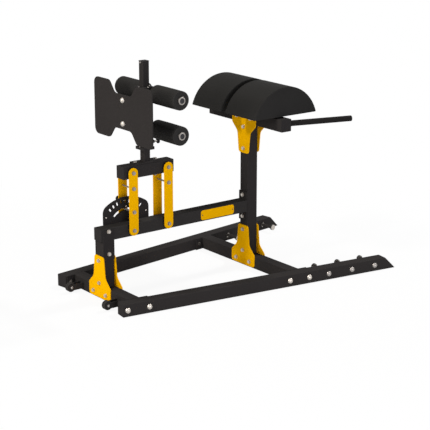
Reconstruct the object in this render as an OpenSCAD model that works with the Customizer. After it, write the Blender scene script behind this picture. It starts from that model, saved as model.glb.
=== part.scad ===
// Glute ham developer: a splayed steel base with a low beam, a tall upright that carries two
// half-round thigh pads and two handles, and a foot assembly on a parallelogram of flat links.
// The machine stands on the floor with its long side along X. The handles are at +X and the
// footplate is towards -X. Heights are measured from the floor, and places along X are measured
// from the rear face of the rear upright until placed() centres the whole machine.

/* [Frame tube] */
// Side of the square frame tube
tube_w = 75; // [66:1:84]
// Wall of the frame tube
tube_wall = 3; // [2:0.5:5]
// Outside corner radius of the frame tube
tube_corner = 4.5; // [4:0.5:8]
// Thickness of the black end caps
cap_t = 3; // [2:0.5:6]

/* [Base] */
// Angle that each rail turns outward
splay = 8; // [4:0.5:10]
// Outer face of a rail from the centre plane, level with the rear upright's rear face
rail_half = 364; // [330:1:420]
// Rail length behind the rear upright's rear face
rail_back = 75; // [70:1:120]
// Rail length in front of the main upright's rear face, up to the tip of the bevel
rail_ahead = 733; // [640:1:840]
// Rear face of the main upright from the rear face of the rear upright
main_x = 1060; // [1000:5:1120]
// Distance that the rear flange plates sit in front of the rails' rear ends
rear_plate_in = 5; // [0:1:15]
// Distance that the front flange plates sit behind the front cross tube's centre
front_plate_back = 3; // [0:1:20]

/* [Uprights and beams] */
// Underside of the lower beam
beam_z = 352; // [330:1:400]
// Length of the lower beam behind the rear upright
beam_back = 10; // [8:1:40]
// Distance that the beam's flange plate sits below the beam's centre
beam_plate_drop = 2.5; // [0:0.5:10]
// Underside of the pad crossbeam
crossbeam_z = 907; // [860:1:960]
// Half the length of the pad crossbeam with its caps
crossbeam_half = 352; // [340:1:400]

/* [Flange and side plates] */
// Thickness of the flange plates
flange_t = 8; // [6:0.5:12]
// Length of the flange plates
flange_len = 183; // [170:1:200]
// Distance between a flange plate's two bolts
flange_pitch = 136; // [130:1:145]
// Thickness of the plates at the sides of the rear upright
side_plate_t = 6; // [4:0.5:10]
// Lower end of a side plate below the lower beam's underside
side_plate_down = 112; // [100:1:125]
// Upper end of a side plate above the lower beam's underside
side_plate_up = 66; // [62:1:72]
// Lower side bolt below the lower beam's underside
side_bolt_down = 77; // [60:1:90]
// Upper side bolt above the lower beam's underside
side_bolt_up = 58; // [52:1:58]

/* [Gusset plates] */
// Thickness of the gusset plates
gusset_t = 5; // [4:0.5:10]
// Half the width of a gusset plate at its base
gusset_half = 113; // [105:1:130]
// Distance from the tube's outer edge to the plate's base edge
gusset_margin = 7; // [4:1:12]
// Height at which the plate's shoulder ends
shoulder_z = 82; // [76:1:92]
// Height at which the slanted shoulder meets the neck
neck_z = 132; // [122:1:150]
// Half the width of the neck at its foot
neck_half = 61; // [54:1:72]
// Half the width of the neck at its end
neck_end_half = 47; // [40:1:54]
// Height of the neck's end
neck_end_z = 261.5; // [254:0.5:270]
// Corner radius at the plate's base
base_corner = 18; // [8:1:24]
// Corner radius at the shoulder
shoulder_corner = 14; // [6:1:20]
// Radius of the hollow between shoulder and neck
neck_corner = 45; // [25:1:60]
// Corner radius at the neck's end
neck_end_corner = 18; // [8:1:24]
// Distance of the two base bolts from the plate's centre
base_bolt_y = 65.5; // [55:0.5:80]
// Height of the lower bolt in the neck
neck_bolt_z = 97.5; // [90:0.5:105]
// Distance between the two bolts in the neck
neck_bolt_pitch = 135; // [120:1:140]

/* [Thigh pads] */
// Radius of the pads' round top
pad_r = 250; // [235:1:265]
// Height of the pads' flat underside above the centre of that radius
pad_rise = 72.5; // [60:0.5:85]
// Centre of the pads in front of the main upright's rear face
pad_ahead = 70; // [60:1:90]
// Gap between the two pads
pad_gap = 46; // [36:1:60]
// Width of one pad
pad_w = 285.7; // [270:0.1:300]
// Height that the pads' skin swells at the middle
pad_crown = 2; // [0:0.5:4]
// Radius of the pads' soft edges
pad_edge = 9; // [5:0.5:14]
// Thickness of the steel plates under the pads
mount_plate_t = 8; // [6:0.5:12]
// Length of the steel plates under the pads
mount_plate_len = 160; // [110:5:200]
// Width of the steel plates under the pads
mount_plate_w = 220; // [180:5:250]
// Thickness of the wooden board inside each pad
board_t = 12; // [9:0.5:18]
// Distance of the board from the pad's outline
board_inset = 12; // [8:1:20]
// Half the distance between the two screws of a pad
pad_screw_half = 60; // [40:1:90]

/* [Handles] */
// Diameter of the handles
handle_d = 35; // [32:0.5:40]
// Length of a handle's centre line
handle_len = 427; // [350:1:480]
// Angle that each handle turns outward
handle_splay = 16; // [0:0.5:18]
// Distance of a handle's centre from the crossbeam's end
handle_in = 45.3; // [25:0.1:70]

/* [Link frame] */
// Rear pivot in front of the rear upright's rear face
pivot_x = 204.4; // [190:0.1:230]
// Distance between the front and rear pivots
link_span = 246.3; // [235:0.1:260]
// Distance between the lower and upper pivots
link_len = 343; // [330:1:360]
// Width of the flat links
link_w = 60; // [54:1:64]
// Thickness of the flat links
link_t = 6; // [5:0.5:8]
// Inner face of a link from the centre plane
link_half = 54; // [50:0.5:58]
// Distance of the cross rod below the upper pivot
brace_drop = 92.5; // [80:0.5:105]
// Diameter of the cross rods
brace_d = 10; // [8:0.5:12]
// Wall of the flanged bushes
bush_wall = 4; // [3:0.5:5]
// Distance that the bushes' flanges stand out
bush_flange_w = 6; // [4:0.5:9]
// Thickness of the bushes' flanges
bush_flange_t = 3; // [2:0.5:5]
// Length of the bushes inside their tube
bush_len = 20; // [12:1:30]
// Outside diameter of the spacers beside the links
spacer_d = 24; // [22:0.5:28]
// Angle between two lock positions
lock_step = 10.3; // [8:0.1:10.5]
// Lock positions on each side of the middle one
lock_steps = 4; // [1:1:4]

/* [Sector plate] */
// Thickness of the sector plate
sector_t = 8; // [6:0.5:10]
// Half the width of the sector plate
sector_half = 158; // [156:0.5:162]
// Distance that the sector plate's middle sits in front of the pivot
sector_ahead = 4.5; // [0:0.5:5]
// Height of the sector plate above the pivot
sector_top = 185; // [182:0.5:187]
// Radius of the sector plate's top
sector_top_r = 250; // [235:1:280]
// Radius of its two upper corners
sector_corner = 50; // [35:1:60]
// Radius from the pivot to the lock slots
lock_r = 159; // [155:0.5:162]
// Width of a lock slot
slot_w = 12; // [11.5:0.1:13]
// Length of a lock slot
slot_len = 24; // [18:0.5:26]
// Radius from the pivot to the guide slot
guide_r = 111; // [104:0.5:114]
// Width of the guide slot
guide_w = 16; // [14:0.5:18]
// Angle that the guide slot runs past the last lock position
guide_spare = 1.5; // [0.5:0.5:4]
// Distance of the outer screws from the sector plate's middle
sector_screw_x = 139; // [134:1:142]
// Height of the outer screws above the pivot
sector_screw_z = 79; // [70:1:90]
// Height of the middle screw above the pivot
sector_screw_top = 127; // [126:0.5:131]

/* [Post] */
// Length of the pivot block with its caps
block_len = 350; // [335:1:370]
// Side of the square post
post_w = 43; // [40:0.5:45]
// Wall of the post
post_wall = 3; // [2:0.5:4]
// Outside corner radius of the post
post_corner = 3.5; // [2.5:0.5:5]
// Thickness of the post's cap
post_cap_t = 2; // [1:0.5:5]
// Distance that the post's cap stands out on each side
post_cap_out = 2; // [0.5:0.5:4]
// Top of the post
post_top = 1364.5; // [1350:0.5:1400]
// Length of the plate under the post
post_plate_len = 168; // [150:1:180]
// Thickness of the plate under the post
post_plate_t = 8; // [6:0.5:10]
// Distance of the post plate's bolts from the post
post_bolt_x = 70; // [55:1:72]
// Distance of the stop bolt below the post's top
stop_drop = 9; // [8.5:0.5:10]
// Diameter of the stop bolt's head
stop_head_d = 12; // [8:0.5:12]
// Height of the stop bolt's head
stop_head_t = 9; // [5:0.5:10]

/* [Carriage] */
// Side of the square sleeve
sleeve_w = 60; // [57:0.5:64]
// Wall of the sleeve
sleeve_wall = 4; // [3:0.5:5]
// Outside corner radius of the sleeve
sleeve_corner = 5; // [4.5:0.5:7]
// Lower end of the sleeve
sleeve_z = 864; // [855:1:875]
// Length of the sleeve
sleeve_len = 336; // [325:1:345]
// Side of the plastic collars
collar_w = 82; // [80:0.5:85]
// Corner radius of the plastic collars
collar_corner = 6; // [3:0.5:9]
// Thickness of the plastic collars
collar_t = 15.5; // [12:0.5:17]
// Depth of the collars' lips inside the sleeve
lip_len = 9; // [6:0.5:10]
// Height of the carriage pin above the sleeve's lower end
pin_rise = 21; // [20:0.5:30]
// Distance between the post's pin holes
hole_pitch = 25; // [20:1:27]
// Pin holes above the one in use
holes_up = 5; // [1:1:5]
// Pin holes below the one in use
holes_down = 2; // [1:1:2]

/* [Footplate] */
// Centre of the footplate above the sleeve's lower end
footplate_rise = 219.5; // [205:0.5:230]
// Length of the arm from the sleeve to its flange plate
arm_len = 106; // [80:1:130]
// Side of the arm's square tube
arm_w = 60; // [50:1:70]
// Outside corner radius of the arm's tube
arm_corner = 5; // [4.5:0.5:7]
// Thickness of the footplate
footplate_t = 7; // [5:0.5:10]
// Half the width of the footplate
footplate_half = 295; // [280:1:310]
// Half the height of the footplate's wings
wing_half = 168.5; // [155:0.5:180]
// Half the height of the footplate's middle
middle_half = 100.5; // [92:0.5:110]
// Half the width of the footplate's middle
middle_w = 84; // [70:1:95]
// Distance from the centre plane at which the wings reach full height
wing_y = 137; // [125:1:150]
// Corner radius of the footplate's wings
wing_corner = 38; // [12:1:50]
// Radius of the hollow corners beside its middle
hollow_corner = 40; // [8:1:55]

/* [Foot rollers] */
// Outside diameter of the foam rollers
roller_d = 110.6; // [100:0.2:114]
// Length of a foam roller
roller_len = 235; // [215:1:255]
// Inner end of a roller from the centre plane
roller_in = 57; // [50:1:65]
// Radius of the foam's soft edges
roller_edge = 5; // [2:0.5:9]
// Diameter of the roller axles
axle_d = 32; // [28:0.5:36]
// Diameter of the axle's end collars
end_ring_d = 46; // [42:0.5:52]
// Thickness of the axle's end collars
end_ring_t = 9.5; // [6:0.5:14]
// Lower axle above the sleeve's lower end
axle_rise = 105.5; // [95:0.5:115]
// Distance between the two axles
axle_pitch = 202.5; // [190:0.5:215]

/* [Pull pins] */
// Diameter of the pins' noses
nose_d = 11; // [10:0.2:11]
// Outside diameter of the pin housings
housing_d = 20; // [17:0.5:26]
// Length of the link pin's housing
link_housing_len = 21; // [15:0.5:28]
// Length of the carriage pin's housing
carriage_housing_len = 35; // [28:0.5:42]
// Bare length of a locked pin between its housing and its knob
pin_neck = 12; // [4:0.5:16]
// Diameter of the pin knobs
knob_d = 32; // [26:1:38]
// Length of the pin knobs
knob_len = 11; // [8:1:18]
// Distance that a pin travels to lock
pin_travel = 8.5; // [5:0.5:9]

/* [Wheels] */
// Diameter of the wheels
wheel_d = 54; // [46:1:60]
// Width of the wheels
wheel_w = 30; // [22:0.5:34]
// Wheel centre behind the rear cross tube
wheel_back = 84; // [78:1:100]
// Height of the wheel's centre
wheel_z = 34; // [32:0.5:38]
// Wheel centre from the centre plane
wheel_y = 198; // [170:1:225]
// Thickness of the wheel brackets
bracket_t = 4; // [3:0.5:6]
// Height of the wheel brackets
bracket_h = 36; // [26:1:40]

/* [Band pegs] */
// Pegs on each rail
peg_count = 3; // [1:1:3]
// Distance between two pegs
peg_pitch = 169; // [150:1:180]
// Distance of the first peg from the rail's tip
peg_tip = 152; // [140:1:170]
// Distance that a peg stands out from its rail
peg_len = 97; // [70:1:110]
// Diameter of the pegs
peg_d = 22; // [18:0.5:26]
// Diameter of the discs at the pegs' ends
peg_disc_d = 37; // [32:0.5:42]
// Thickness of the discs at the pegs' ends
peg_disc_t = 12; // [6:0.5:15]
// Diameter of the washers at the pegs' roots
peg_washer_d = 28; // [26.5:0.5:32]

/* [Badge plate] */
// Length of the bare badge plate
badge_len = 250; // [200:1:280]
// Height of the bare badge plate
badge_h = 60; // [45:1:62]
// Thickness of the bare badge plate
badge_t = 2; // [1:0.5:4]
// Centre of the badge plate behind the main upright
badge_back = 233.5; // [180:0.5:280]
// Corner radius of the badge plate
badge_corner = 15; // [8:1:20]

/* [Fasteners] */
// Diameter of the bolts
bolt_d = 12; // [10:0.5:12]
// Width of a hexagon across its corners
hex_d = 21; // [19:0.5:23]
// Thickness of a bolt head
head_t = 7.5; // [5:0.5:9]
// Thickness of a nut
nut_t = 9; // [7:0.5:10]
// Diameter of the washers
washer_d = 24; // [23:0.5:27]
// Thickness of the washers
washer_t = 2; // [1:0.5:3]
// Bolt length that shows past a nut
bolt_tail = 3; // [1:0.5:6]
// Diameter of the domed bolt heads
dome_d = 34; // [30:0.5:38]
// Height of the domed bolt heads
dome_h = 12; // [8:0.5:15]
// Diameter of the wheel bolts and the stop bolt
small_bolt_d = 8; // [6:0.5:8]
// Diameter of the small screw heads
screw_head_d = 10; // [8:0.5:11]
// Diameter of the collars' small screw heads
lip_screw_d = 8; // [6:0.5:8.5]
// Height of the small screw heads
screw_head_t = 3; // [1.5:0.5:3]

/* [Clearances] */
// Play between a bolt and its hole
hole_gap = 0.25; // [0.1:0.05:0.5]
// Radial clearance of a turning fit
run_gap = 0.06; // [0.02:0.01:0.1]
// Radial clearance at the pivot that closes the linkage
open_gap = 0.3; // [0.2:0.05:0.5]
// Clearance on each side of the sliding post
slide_gap = 0.2; // [0.1:0.05:0.4]
// Distance between a withdrawn pin and the part that it locks
pin_clear = 0.6; // [0.4:0.1:1]
// Clearance beside a turning part
side_gap = 0.3; // [0.2:0.05:0.5]

/* [Hidden] */

$fn = 48;
skin = 0.3;
far_cut = 400;
half_w = tube_w / 2;
rail_front = main_x + rail_ahead;
inner_corner = tube_corner - tube_wall;

// Places in the base
main_mid = main_x + half_w;
front_plate_x = (main_mid - tube_w * sin(splay)) / cos(splay) - front_plate_back;
rear_plate_x = flange_len / 2 - rail_back + rear_plate_in;
tip_x = rail_front * cos(splay) + (tube_w - tube_corner) * sin(splay) + tube_corner * (1 - cos(splay));
tail_x = -wheel_back - wheel_d / 2;
mid_x = (tip_x + tail_x) / 2;

// Places on the uprights and beams
beam_mid = beam_z + half_w;
beam_plate_z = beam_mid - beam_plate_drop;
beam_end_x = main_x - flange_t;
crossbeam_top = crossbeam_z + tube_w;
handle_y = crossbeam_half - handle_in;
side_bolt_low = beam_z - side_bolt_down;
side_bolt_high = beam_z + side_bolt_up;

// Places of the pads
pad_x = main_x + pad_ahead;
pad_z = crossbeam_top + mount_plate_t;
pad_floor = sqrt(pad_r * pad_r - pad_rise * pad_rise);
pad_in = pad_gap / 2;
pad_out = pad_in + pad_w;
pad_mid_y = (pad_in + pad_out) / 2;
board_in = pad_in + board_inset;
board_out = pad_out - board_inset;
board_half = pad_floor - 2 * board_inset;

// Places of the linkage
top_z = beam_mid + link_len;
front_x = pivot_x + link_span;
link_out = link_half + link_t;
brace_r = link_len - brace_drop;
bush_d = bolt_d + 2 * bush_wall;
bush_flange_d = bush_d + 2 * bush_flange_w;
bush_face = half_w + bush_flange_t;

// Places of the post and the carriage
post_x = pivot_x + link_span / 2;
block_top = top_z + half_w;
post_z = block_top + post_plate_t;
sleeve_top = sleeve_z + sleeve_len;
sleeve_face = sleeve_w / 2;
pin_z = sleeve_z + pin_rise;
lip_screw_r = sleeve_face + (collar_w - sleeve_w) / 4;
axle_x = post_x + sleeve_face + axle_d / 2;
roller_out = roller_in + roller_len;
footplate_z = sleeve_z + footplate_rise;
arm_face = post_x - sleeve_face - arm_len;
footplate_x = arm_face - flange_t;
knob_gap = pin_travel + pin_neck;

// Rounds each corner of an outline. Every corner is [x, y, radius].
function unit(v) = v / norm(v);
function turned(d) = d > 180 ? d - 360 : d < -180 ? d + 360 : d;
function corner_arc(a, p, b, n) =
    let (here = [p[0], p[1]], u = unit([a[0], a[1]] - here), w = unit([b[0], b[1]] - here),
         half = acos(u * w) / 2, mid = here + unit(u + w) * p[2] / sin(half),
         from = here + u * p[2] / tan(half) - mid, to = here + w * p[2] / tan(half) - mid,
         start = atan2(from[1], from[0]), sweep = turned(atan2(to[1], to[0]) - start))
    [for (i = [0:n]) mid + p[2] * [cos(start + sweep * i / n), sin(start + sweep * i / n)]];
function rounded(corners, n = 6) =
    let (c = len(corners))
    [for (i = [0:c - 1]) each corner_arc(corners[(i + c - 1) % c], corners[i], corners[(i + 1) % c], n)];
function mirrored_x(corners) =
    concat(corners, [for (i = [len(corners) - 1:-1:0]) [-corners[i][0], corners[i][1], corners[i][2]]]);

// Moves the machine so that the middle of its length is at X = 0
module placed() translate([-mid_x, 0, 0]) children();
module both_sides() {
    children();
    mirror([0, 1, 0]) children();
}
// The near rail's own frame: X along the rail, Y inward from its outer face, Z up
module at_near_rail() translate([0, -rail_half, 0]) rotate(-splay) children();

// Round bars along each axis
module rod_x(d, x0, x1, y, z, sides = $fn)
    translate([x0, y, z]) rotate([0, 90, 0]) cylinder(d = d, h = x1 - x0, $fn = sides);
module rod_y(d, y0, y1, x, z, sides = $fn)
    translate([x, y0, z]) rotate([-90, 0, 0]) cylinder(d = d, h = y1 - y0, $fn = sides);
module rod_z(d, z0, z1, x, y, sides = $fn)
    translate([x, y, z0]) cylinder(d = d, h = z1 - z0, $fn = sides);

// Sections, and bars of a section along each axis
module rounded_rect(w, h, r) {
    square([w - 2 * r, h], center = true);
    square([w, h - 2 * r], center = true);
    for (x = [-1, 1], y = [-1, 1])
        translate([x * (w / 2 - r), y * (h / 2 - r)]) circle(r);
}
module solid_section() rounded_rect(tube_w, tube_w, tube_corner);
module bore_section() rounded_rect(tube_w - 2 * tube_wall, tube_w - 2 * tube_wall, inner_corner);
module tube_section() difference() {
    solid_section();
    bore_section();
}
module along_x(x0, x1, y, z)
    translate([x0, y, z]) rotate([90, 0, 90]) linear_extrude(x1 - x0) children();
module along_y(y0, y1, x, z)
    translate([x, y1, z]) rotate([90, 0, 0]) linear_extrude(y1 - y0) children();
module along_z(z0, z1, x, y)
    translate([x, y, z0]) linear_extrude(z1 - z0) children();

// Fasteners stand on Z = 0 and run up through the parts that they hold
module bolt(shank, d = bolt_d) {
    translate([0, 0, -washer_t]) cylinder(d = washer_d, h = washer_t);
    translate([0, 0, -washer_t - head_t]) cylinder(d = hex_d, h = head_t, $fn = 6);
    translate([0, 0, -washer_t]) cylinder(d = d, h = washer_t + shank);
}
module nut(d = bolt_d) difference() {
    union() {
        cylinder(d = washer_d, h = washer_t);
        translate([0, 0, washer_t]) cylinder(d = hex_d, h = nut_t, $fn = 6);
    }
    translate([0, 0, -1]) cylinder(d = d + 2 * run_gap, h = washer_t + nut_t + 2);
}
module bolt_and_nut(grip, d = bolt_d) {
    bolt(grip + washer_t + nut_t + bolt_tail, d);
    translate([0, 0, grip]) nut(d);
}
module dome(d, h) {
    ball_r = (d * d / 4 + h * h) / (2 * h);
    intersection() {
        translate([0, 0, ball_r - h]) sphere(ball_r);
        translate([0, 0, -h]) cylinder(d = d, h = h);
    }
}
module domed_bolt(shank) {
    dome(dome_d, dome_h);
    translate([0, 0, -1]) cylinder(d = bolt_d, h = shank + 1);
}
module screw(d, head_d, shank) {
    dome(head_d, screw_head_t);
    translate([0, 0, -1]) cylinder(d = d, h = shank + 1);
}
module facing_x(x, y, z) translate([x, y, z]) rotate([0, 90, 0]) children();
module facing_y(x, y, z) translate([x, y, z]) rotate([-90, 0, 0]) children();
hole_d = bolt_d + 2 * hole_gap;
flange_bolts = [-flange_pitch / 2, flange_pitch / 2];
peg_places = [for (i = [0:peg_count - 1]) rail_front - peg_tip - i * peg_pitch];
plate_places = [rear_plate_x, front_plate_x];

// Rails and what closes them
module bevel_cut(x) translate([x, -1, 0]) rotate([0, -45, 0]) cube([far_cut, tube_w + 2, far_cut]);
module rail() difference() {
    along_x(cap_t - rail_back, rail_front, half_w, half_w) solid_section();
    difference() {
        along_x(-rail_back - 1, rail_front, half_w, half_w) bore_section();
        bevel_cut(rail_front - tube_wall * sqrt(2));
    }
    bevel_cut(rail_front);
    for (x = plate_places, d = flange_bolts)
        rod_y(hole_d, -1, tube_w + 1, x + d, half_w);
    for (x = peg_places)
        rod_y(hole_d, -1, tube_w + 1, x, half_w);
}
module near_rail() placed() color("#33312f") at_near_rail() rail();
module far_rail() placed() color("#33312f") mirror([0, 1, 0]) at_near_rail() rail();
module tube_end_caps() placed() color("#262626") {
    both_sides() at_near_rail() along_x(-rail_back, cap_t - rail_back, half_w, half_w) solid_section();
    along_x(-beam_back, cap_t - beam_back, 0, beam_mid) solid_section();
    both_sides()
        along_y(crossbeam_half - cap_t, crossbeam_half, main_mid, crossbeam_z + half_w) solid_section();
}

// Cross tubes, cut to the flange plates on the rails
module cross_tube(x, rear_y) difference() {
    along_y(-rear_y, rear_y, x, half_w) tube_section();
    both_sides() at_near_rail()
        translate([-far_cut, -far_cut, -1])
            cube([rail_front + far_cut, far_cut + tube_w + flange_t, tube_w + 2]);
    for (y = [-base_bolt_y, base_bolt_y])
        rod_x(hole_d, x - half_w - 1, x + half_w + 1, y, half_w);
}
module rear_cross_tube() placed() color("#33312f") cross_tube(half_w, rail_half);
module front_cross_tube() placed() color("#33312f")
    cross_tube(main_mid, rail_half + rail_front * sin(splay));
module flange_plate() difference() {
    translate([-flange_len / 2, 0, -half_w]) cube([flange_len, flange_t, tube_w]);
    for (x = flange_bolts)
        rod_y(hole_d, -1, flange_t + 1, x, 0);
}
module flange_plates() placed() color("#2e2d2b") {
    both_sides() at_near_rail()
        for (x = plate_places)
            translate([x, tube_w, half_w]) flange_plate();
    translate([main_x, 0, beam_plate_z]) rotate([0, 90, 90]) flange_plate();
}
module rail_bolts() placed() color("#c8beb4") both_sides() at_near_rail() {
    for (x = plate_places, d = flange_bolts)
        facing_y(x + d, 0, half_w) {
            domed_bolt(tube_w + flange_t + washer_t + nut_t + bolt_tail);
            translate([0, 0, tube_w + flange_t]) nut();
        }
    for (x = peg_places)
        facing_y(x, 0, half_w) domed_bolt(tube_w + peg_len / 2);
}

// Uprights
module rear_upright() placed() color("#33312f") difference() {
    along_z(tube_w, beam_z, half_w, 0) tube_section();
    for (z = [neck_bolt_z, neck_bolt_z + neck_bolt_pitch])
        rod_x(hole_d, -1, tube_w + 1, 0, z);
    rod_y(hole_d, -half_w - 1, half_w + 1, half_w, side_bolt_low);
}
module main_upright() placed() color("#33312f") difference() {
    along_z(tube_w, crossbeam_z, main_mid, 0) tube_section();
    for (d = [0, neck_bolt_pitch], z = [neck_bolt_z + d, crossbeam_top - neck_bolt_z - d])
        rod_x(hole_d, main_x - 1, main_x + tube_w + 1, 0, z);
    for (d = flange_bolts)
        rod_x(hole_d, main_x - 1, main_x + tube_w + 1, 0, beam_plate_z + d);
}

// Gusset plates in pairs that clamp a foot or a top joint
module gusset_outline() polygon(rounded(mirrored_x([
    [gusset_half, gusset_margin, base_corner],
    [gusset_half, shoulder_z, shoulder_corner],
    [neck_half, neck_z, neck_corner],
    [neck_end_half, neck_end_z, neck_end_corner]])));
module gusset(x) difference() {
    along_x(x, x + gusset_t, 0, 0) gusset_outline();
    for (y = [-base_bolt_y, base_bolt_y])
        rod_x(hole_d, x - 1, x + gusset_t + 1, y, half_w);
    for (z = [neck_bolt_z, neck_bolt_z + neck_bolt_pitch])
        rod_x(hole_d, x - 1, x + gusset_t + 1, 0, z);
}
module gusset_pair(x) {
    gusset(x - gusset_t);
    gusset(x + tube_w);
}
module gusset_bolts(x) {
    for (y = [-base_bolt_y, base_bolt_y])
        facing_x(x - gusset_t, y, half_w) bolt_and_nut(tube_w + 2 * gusset_t);
    for (z = [neck_bolt_z, neck_bolt_z + neck_bolt_pitch])
        facing_x(x - gusset_t, 0, z) bolt_and_nut(tube_w + 2 * gusset_t);
}
module at_top() translate([0, 0, crossbeam_top]) mirror([0, 0, 1]) children();
module rear_foot_gussets() placed() color("#e0a800") gusset_pair(0);
module main_foot_gussets() placed() color("#e0a800") gusset_pair(main_x);
module main_top_gussets() placed() color("#e0a800") at_top() gusset_pair(main_x);
module frame_bolts() placed() color("#c8beb4") {
    gusset_bolts(0);
    gusset_bolts(main_x);
    at_top() gusset_bolts(main_x);
    for (d = flange_bolts)
        facing_x(beam_end_x, 0, beam_plate_z + d) bolt_and_nut(flange_t + tube_w);
    for (z = [side_bolt_low, side_bolt_high])
        facing_y(half_w, -half_w - side_plate_t, z) bolt_and_nut(tube_w + 2 * side_plate_t);
    for (s = [-1, 1])
        both_sides() translate([main_mid, -pad_mid_y + s * pad_screw_half, crossbeam_z])
            bolt(tube_w + mount_plate_t + board_t - 1);
}

// Lower beam and its plates
module bush_seats(x, z) rod_y(bush_d, -half_w - 1, half_w + 1, x, z);
module lower_beam() placed() color("#33312f") difference() {
    along_x(cap_t - beam_back, beam_end_x, 0, beam_mid) tube_section();
    rod_y(hole_d, -half_w - 1, half_w + 1, half_w, side_bolt_high);
    for (x = [pivot_x, front_x])
        bush_seats(x, beam_mid);
}
module beam_side_plates() placed() color("#2e2d2b") both_sides() difference() {
    translate([0, -half_w - side_plate_t, beam_z - side_plate_down])
        cube([tube_w, side_plate_t, side_plate_down + side_plate_up]);
    for (z = [side_bolt_low, side_bolt_high])
        rod_y(hole_d, -half_w - side_plate_t - 1, 1 - half_w, half_w, z);
}
module badge_plate() placed() color("#e0a800")
    along_y(-half_w - badge_t, -half_w, main_x - badge_back, beam_mid)
        rounded_rect(badge_len, badge_h, badge_corner);

// Sector plate: places are measured from the lower rear pivot
lock_angles = [for (i = [-lock_steps:lock_steps]) i * lock_step];
guide_end = lock_steps * lock_step + guide_spare;
arc_mid = sector_top - sector_top_r;
corner_x = sector_half - sector_corner;
corner_z = arc_mid + sqrt(pow(sector_top_r - sector_corner, 2) - corner_x * corner_x);
corner_turn = atan2(corner_z - arc_mid, corner_x);
sector_side = concat([[sector_half, half_w]],
    [for (i = [0:8]) [corner_x, corner_z] + sector_corner * [cos(corner_turn * i / 8), sin(corner_turn * i / 8)]],
    [for (i = [1:8]) let (a = corner_turn + (90 - corner_turn) * i / 8)
        [sector_top_r * cos(a), arc_mid + sector_top_r * sin(a)]]);
sector_screws = [for (p = [[-sector_screw_x, sector_screw_z], [0, sector_screw_top],
    [sector_screw_x, sector_screw_z]]) [p[0] + sector_ahead, p[1]]];
module sector_outline() translate([sector_ahead, 0]) polygon(concat(sector_side,
    [for (i = [len(sector_side) - 2:-1:0]) [-sector_side[i][0], sector_side[i][1]]]));
module lock_slot() {
    reach = (slot_len - slot_w) / 2;
    for (s = [-1, 1])
        translate([0, lock_r + s * reach]) circle(d = slot_w);
    translate([0, lock_r]) square([slot_w, 2 * reach], center = true);
}
module guide_slot() {
    intersection() {
        difference() {
            circle(guide_r + guide_w / 2, $fn = 96);
            circle(guide_r - guide_w / 2, $fn = 96);
        }
        polygon([[0, 0], for (i = [-4:4]) far_cut * [sin(guide_end * i / 4), cos(guide_end * i / 4)]]);
    }
    for (s = [-1, 1])
        rotate(s * guide_end) translate([0, guide_r]) circle(d = guide_w);
}
module sector_plate() placed() color("#2b2a29") along_y(half_w - sector_t, half_w, pivot_x, beam_mid)
    difference() {
        sector_outline();
        for (a = lock_angles)
            rotate(a) lock_slot();
        guide_slot();
        for (p = sector_screws)
            translate(p) circle(d = screw_head_d / 2 + 2 * hole_gap);
    }
module small_screws() placed() color("#c8beb4") {
    for (p = sector_screws)
        facing_y(pivot_x + p[0], half_w - sector_t, beam_mid + p[1])
            screw(screw_head_d / 2, screw_head_d, sector_t);
}

// Flanged bushes at both sides of a square tube
module bush_pair(x, z, bore) both_sides() difference() {
    union() {
        rod_y(bush_d, -half_w, bush_len - half_w, x, z);
        rod_y(bush_flange_d, -bush_face, -half_w, x, z);
    }
    rod_y(bore, -bush_face - 1, bush_len, x, z);
}
module beam_bushes() placed() color("#8a7a50")
    for (x = [pivot_x, front_x])
        bush_pair(x, beam_mid, bolt_d + 2 * run_gap);
module block_bushes() placed() color("#8a7a50") {
    bush_pair(pivot_x, top_z, bolt_d + 2 * run_gap);
    bush_pair(front_x, top_z, bolt_d + 2 * open_gap);
}

// Pad crossbeam and what stands on it
module pad_screw_holes(z0, z1) both_sides()
    for (s = [-1, 1])
        rod_z(hole_d, z0, z1, main_mid, -pad_mid_y + s * pad_screw_half);
module pad_crossbeam() placed() color("#33312f") difference() {
    along_y(cap_t - crossbeam_half, crossbeam_half - cap_t, main_mid, crossbeam_z + half_w) tube_section();
    for (y = [-base_bolt_y, base_bolt_y])
        rod_x(hole_d, main_x - 1, main_x + tube_w + 1, y, crossbeam_top - half_w);
    pad_screw_holes(crossbeam_z - 1, crossbeam_top + 1);
}
module pad_mount_plates() placed() color("#2b2a29") difference() {
    both_sides() translate([main_mid - mount_plate_len / 2, -pad_mid_y - mount_plate_w / 2, crossbeam_top])
        cube([mount_plate_len, mount_plate_w, mount_plate_t]);
    pad_screw_holes(crossbeam_top - 1, pad_z + 1);
}
module pad_boards() placed() color("#7a5a3a") difference() {
    both_sides() translate([pad_x - board_half, -board_out, pad_z])
        cube([2 * board_half, board_out - board_in, board_t]);
    pad_screw_holes(pad_z - 1, pad_z + board_t + 1);
}
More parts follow.
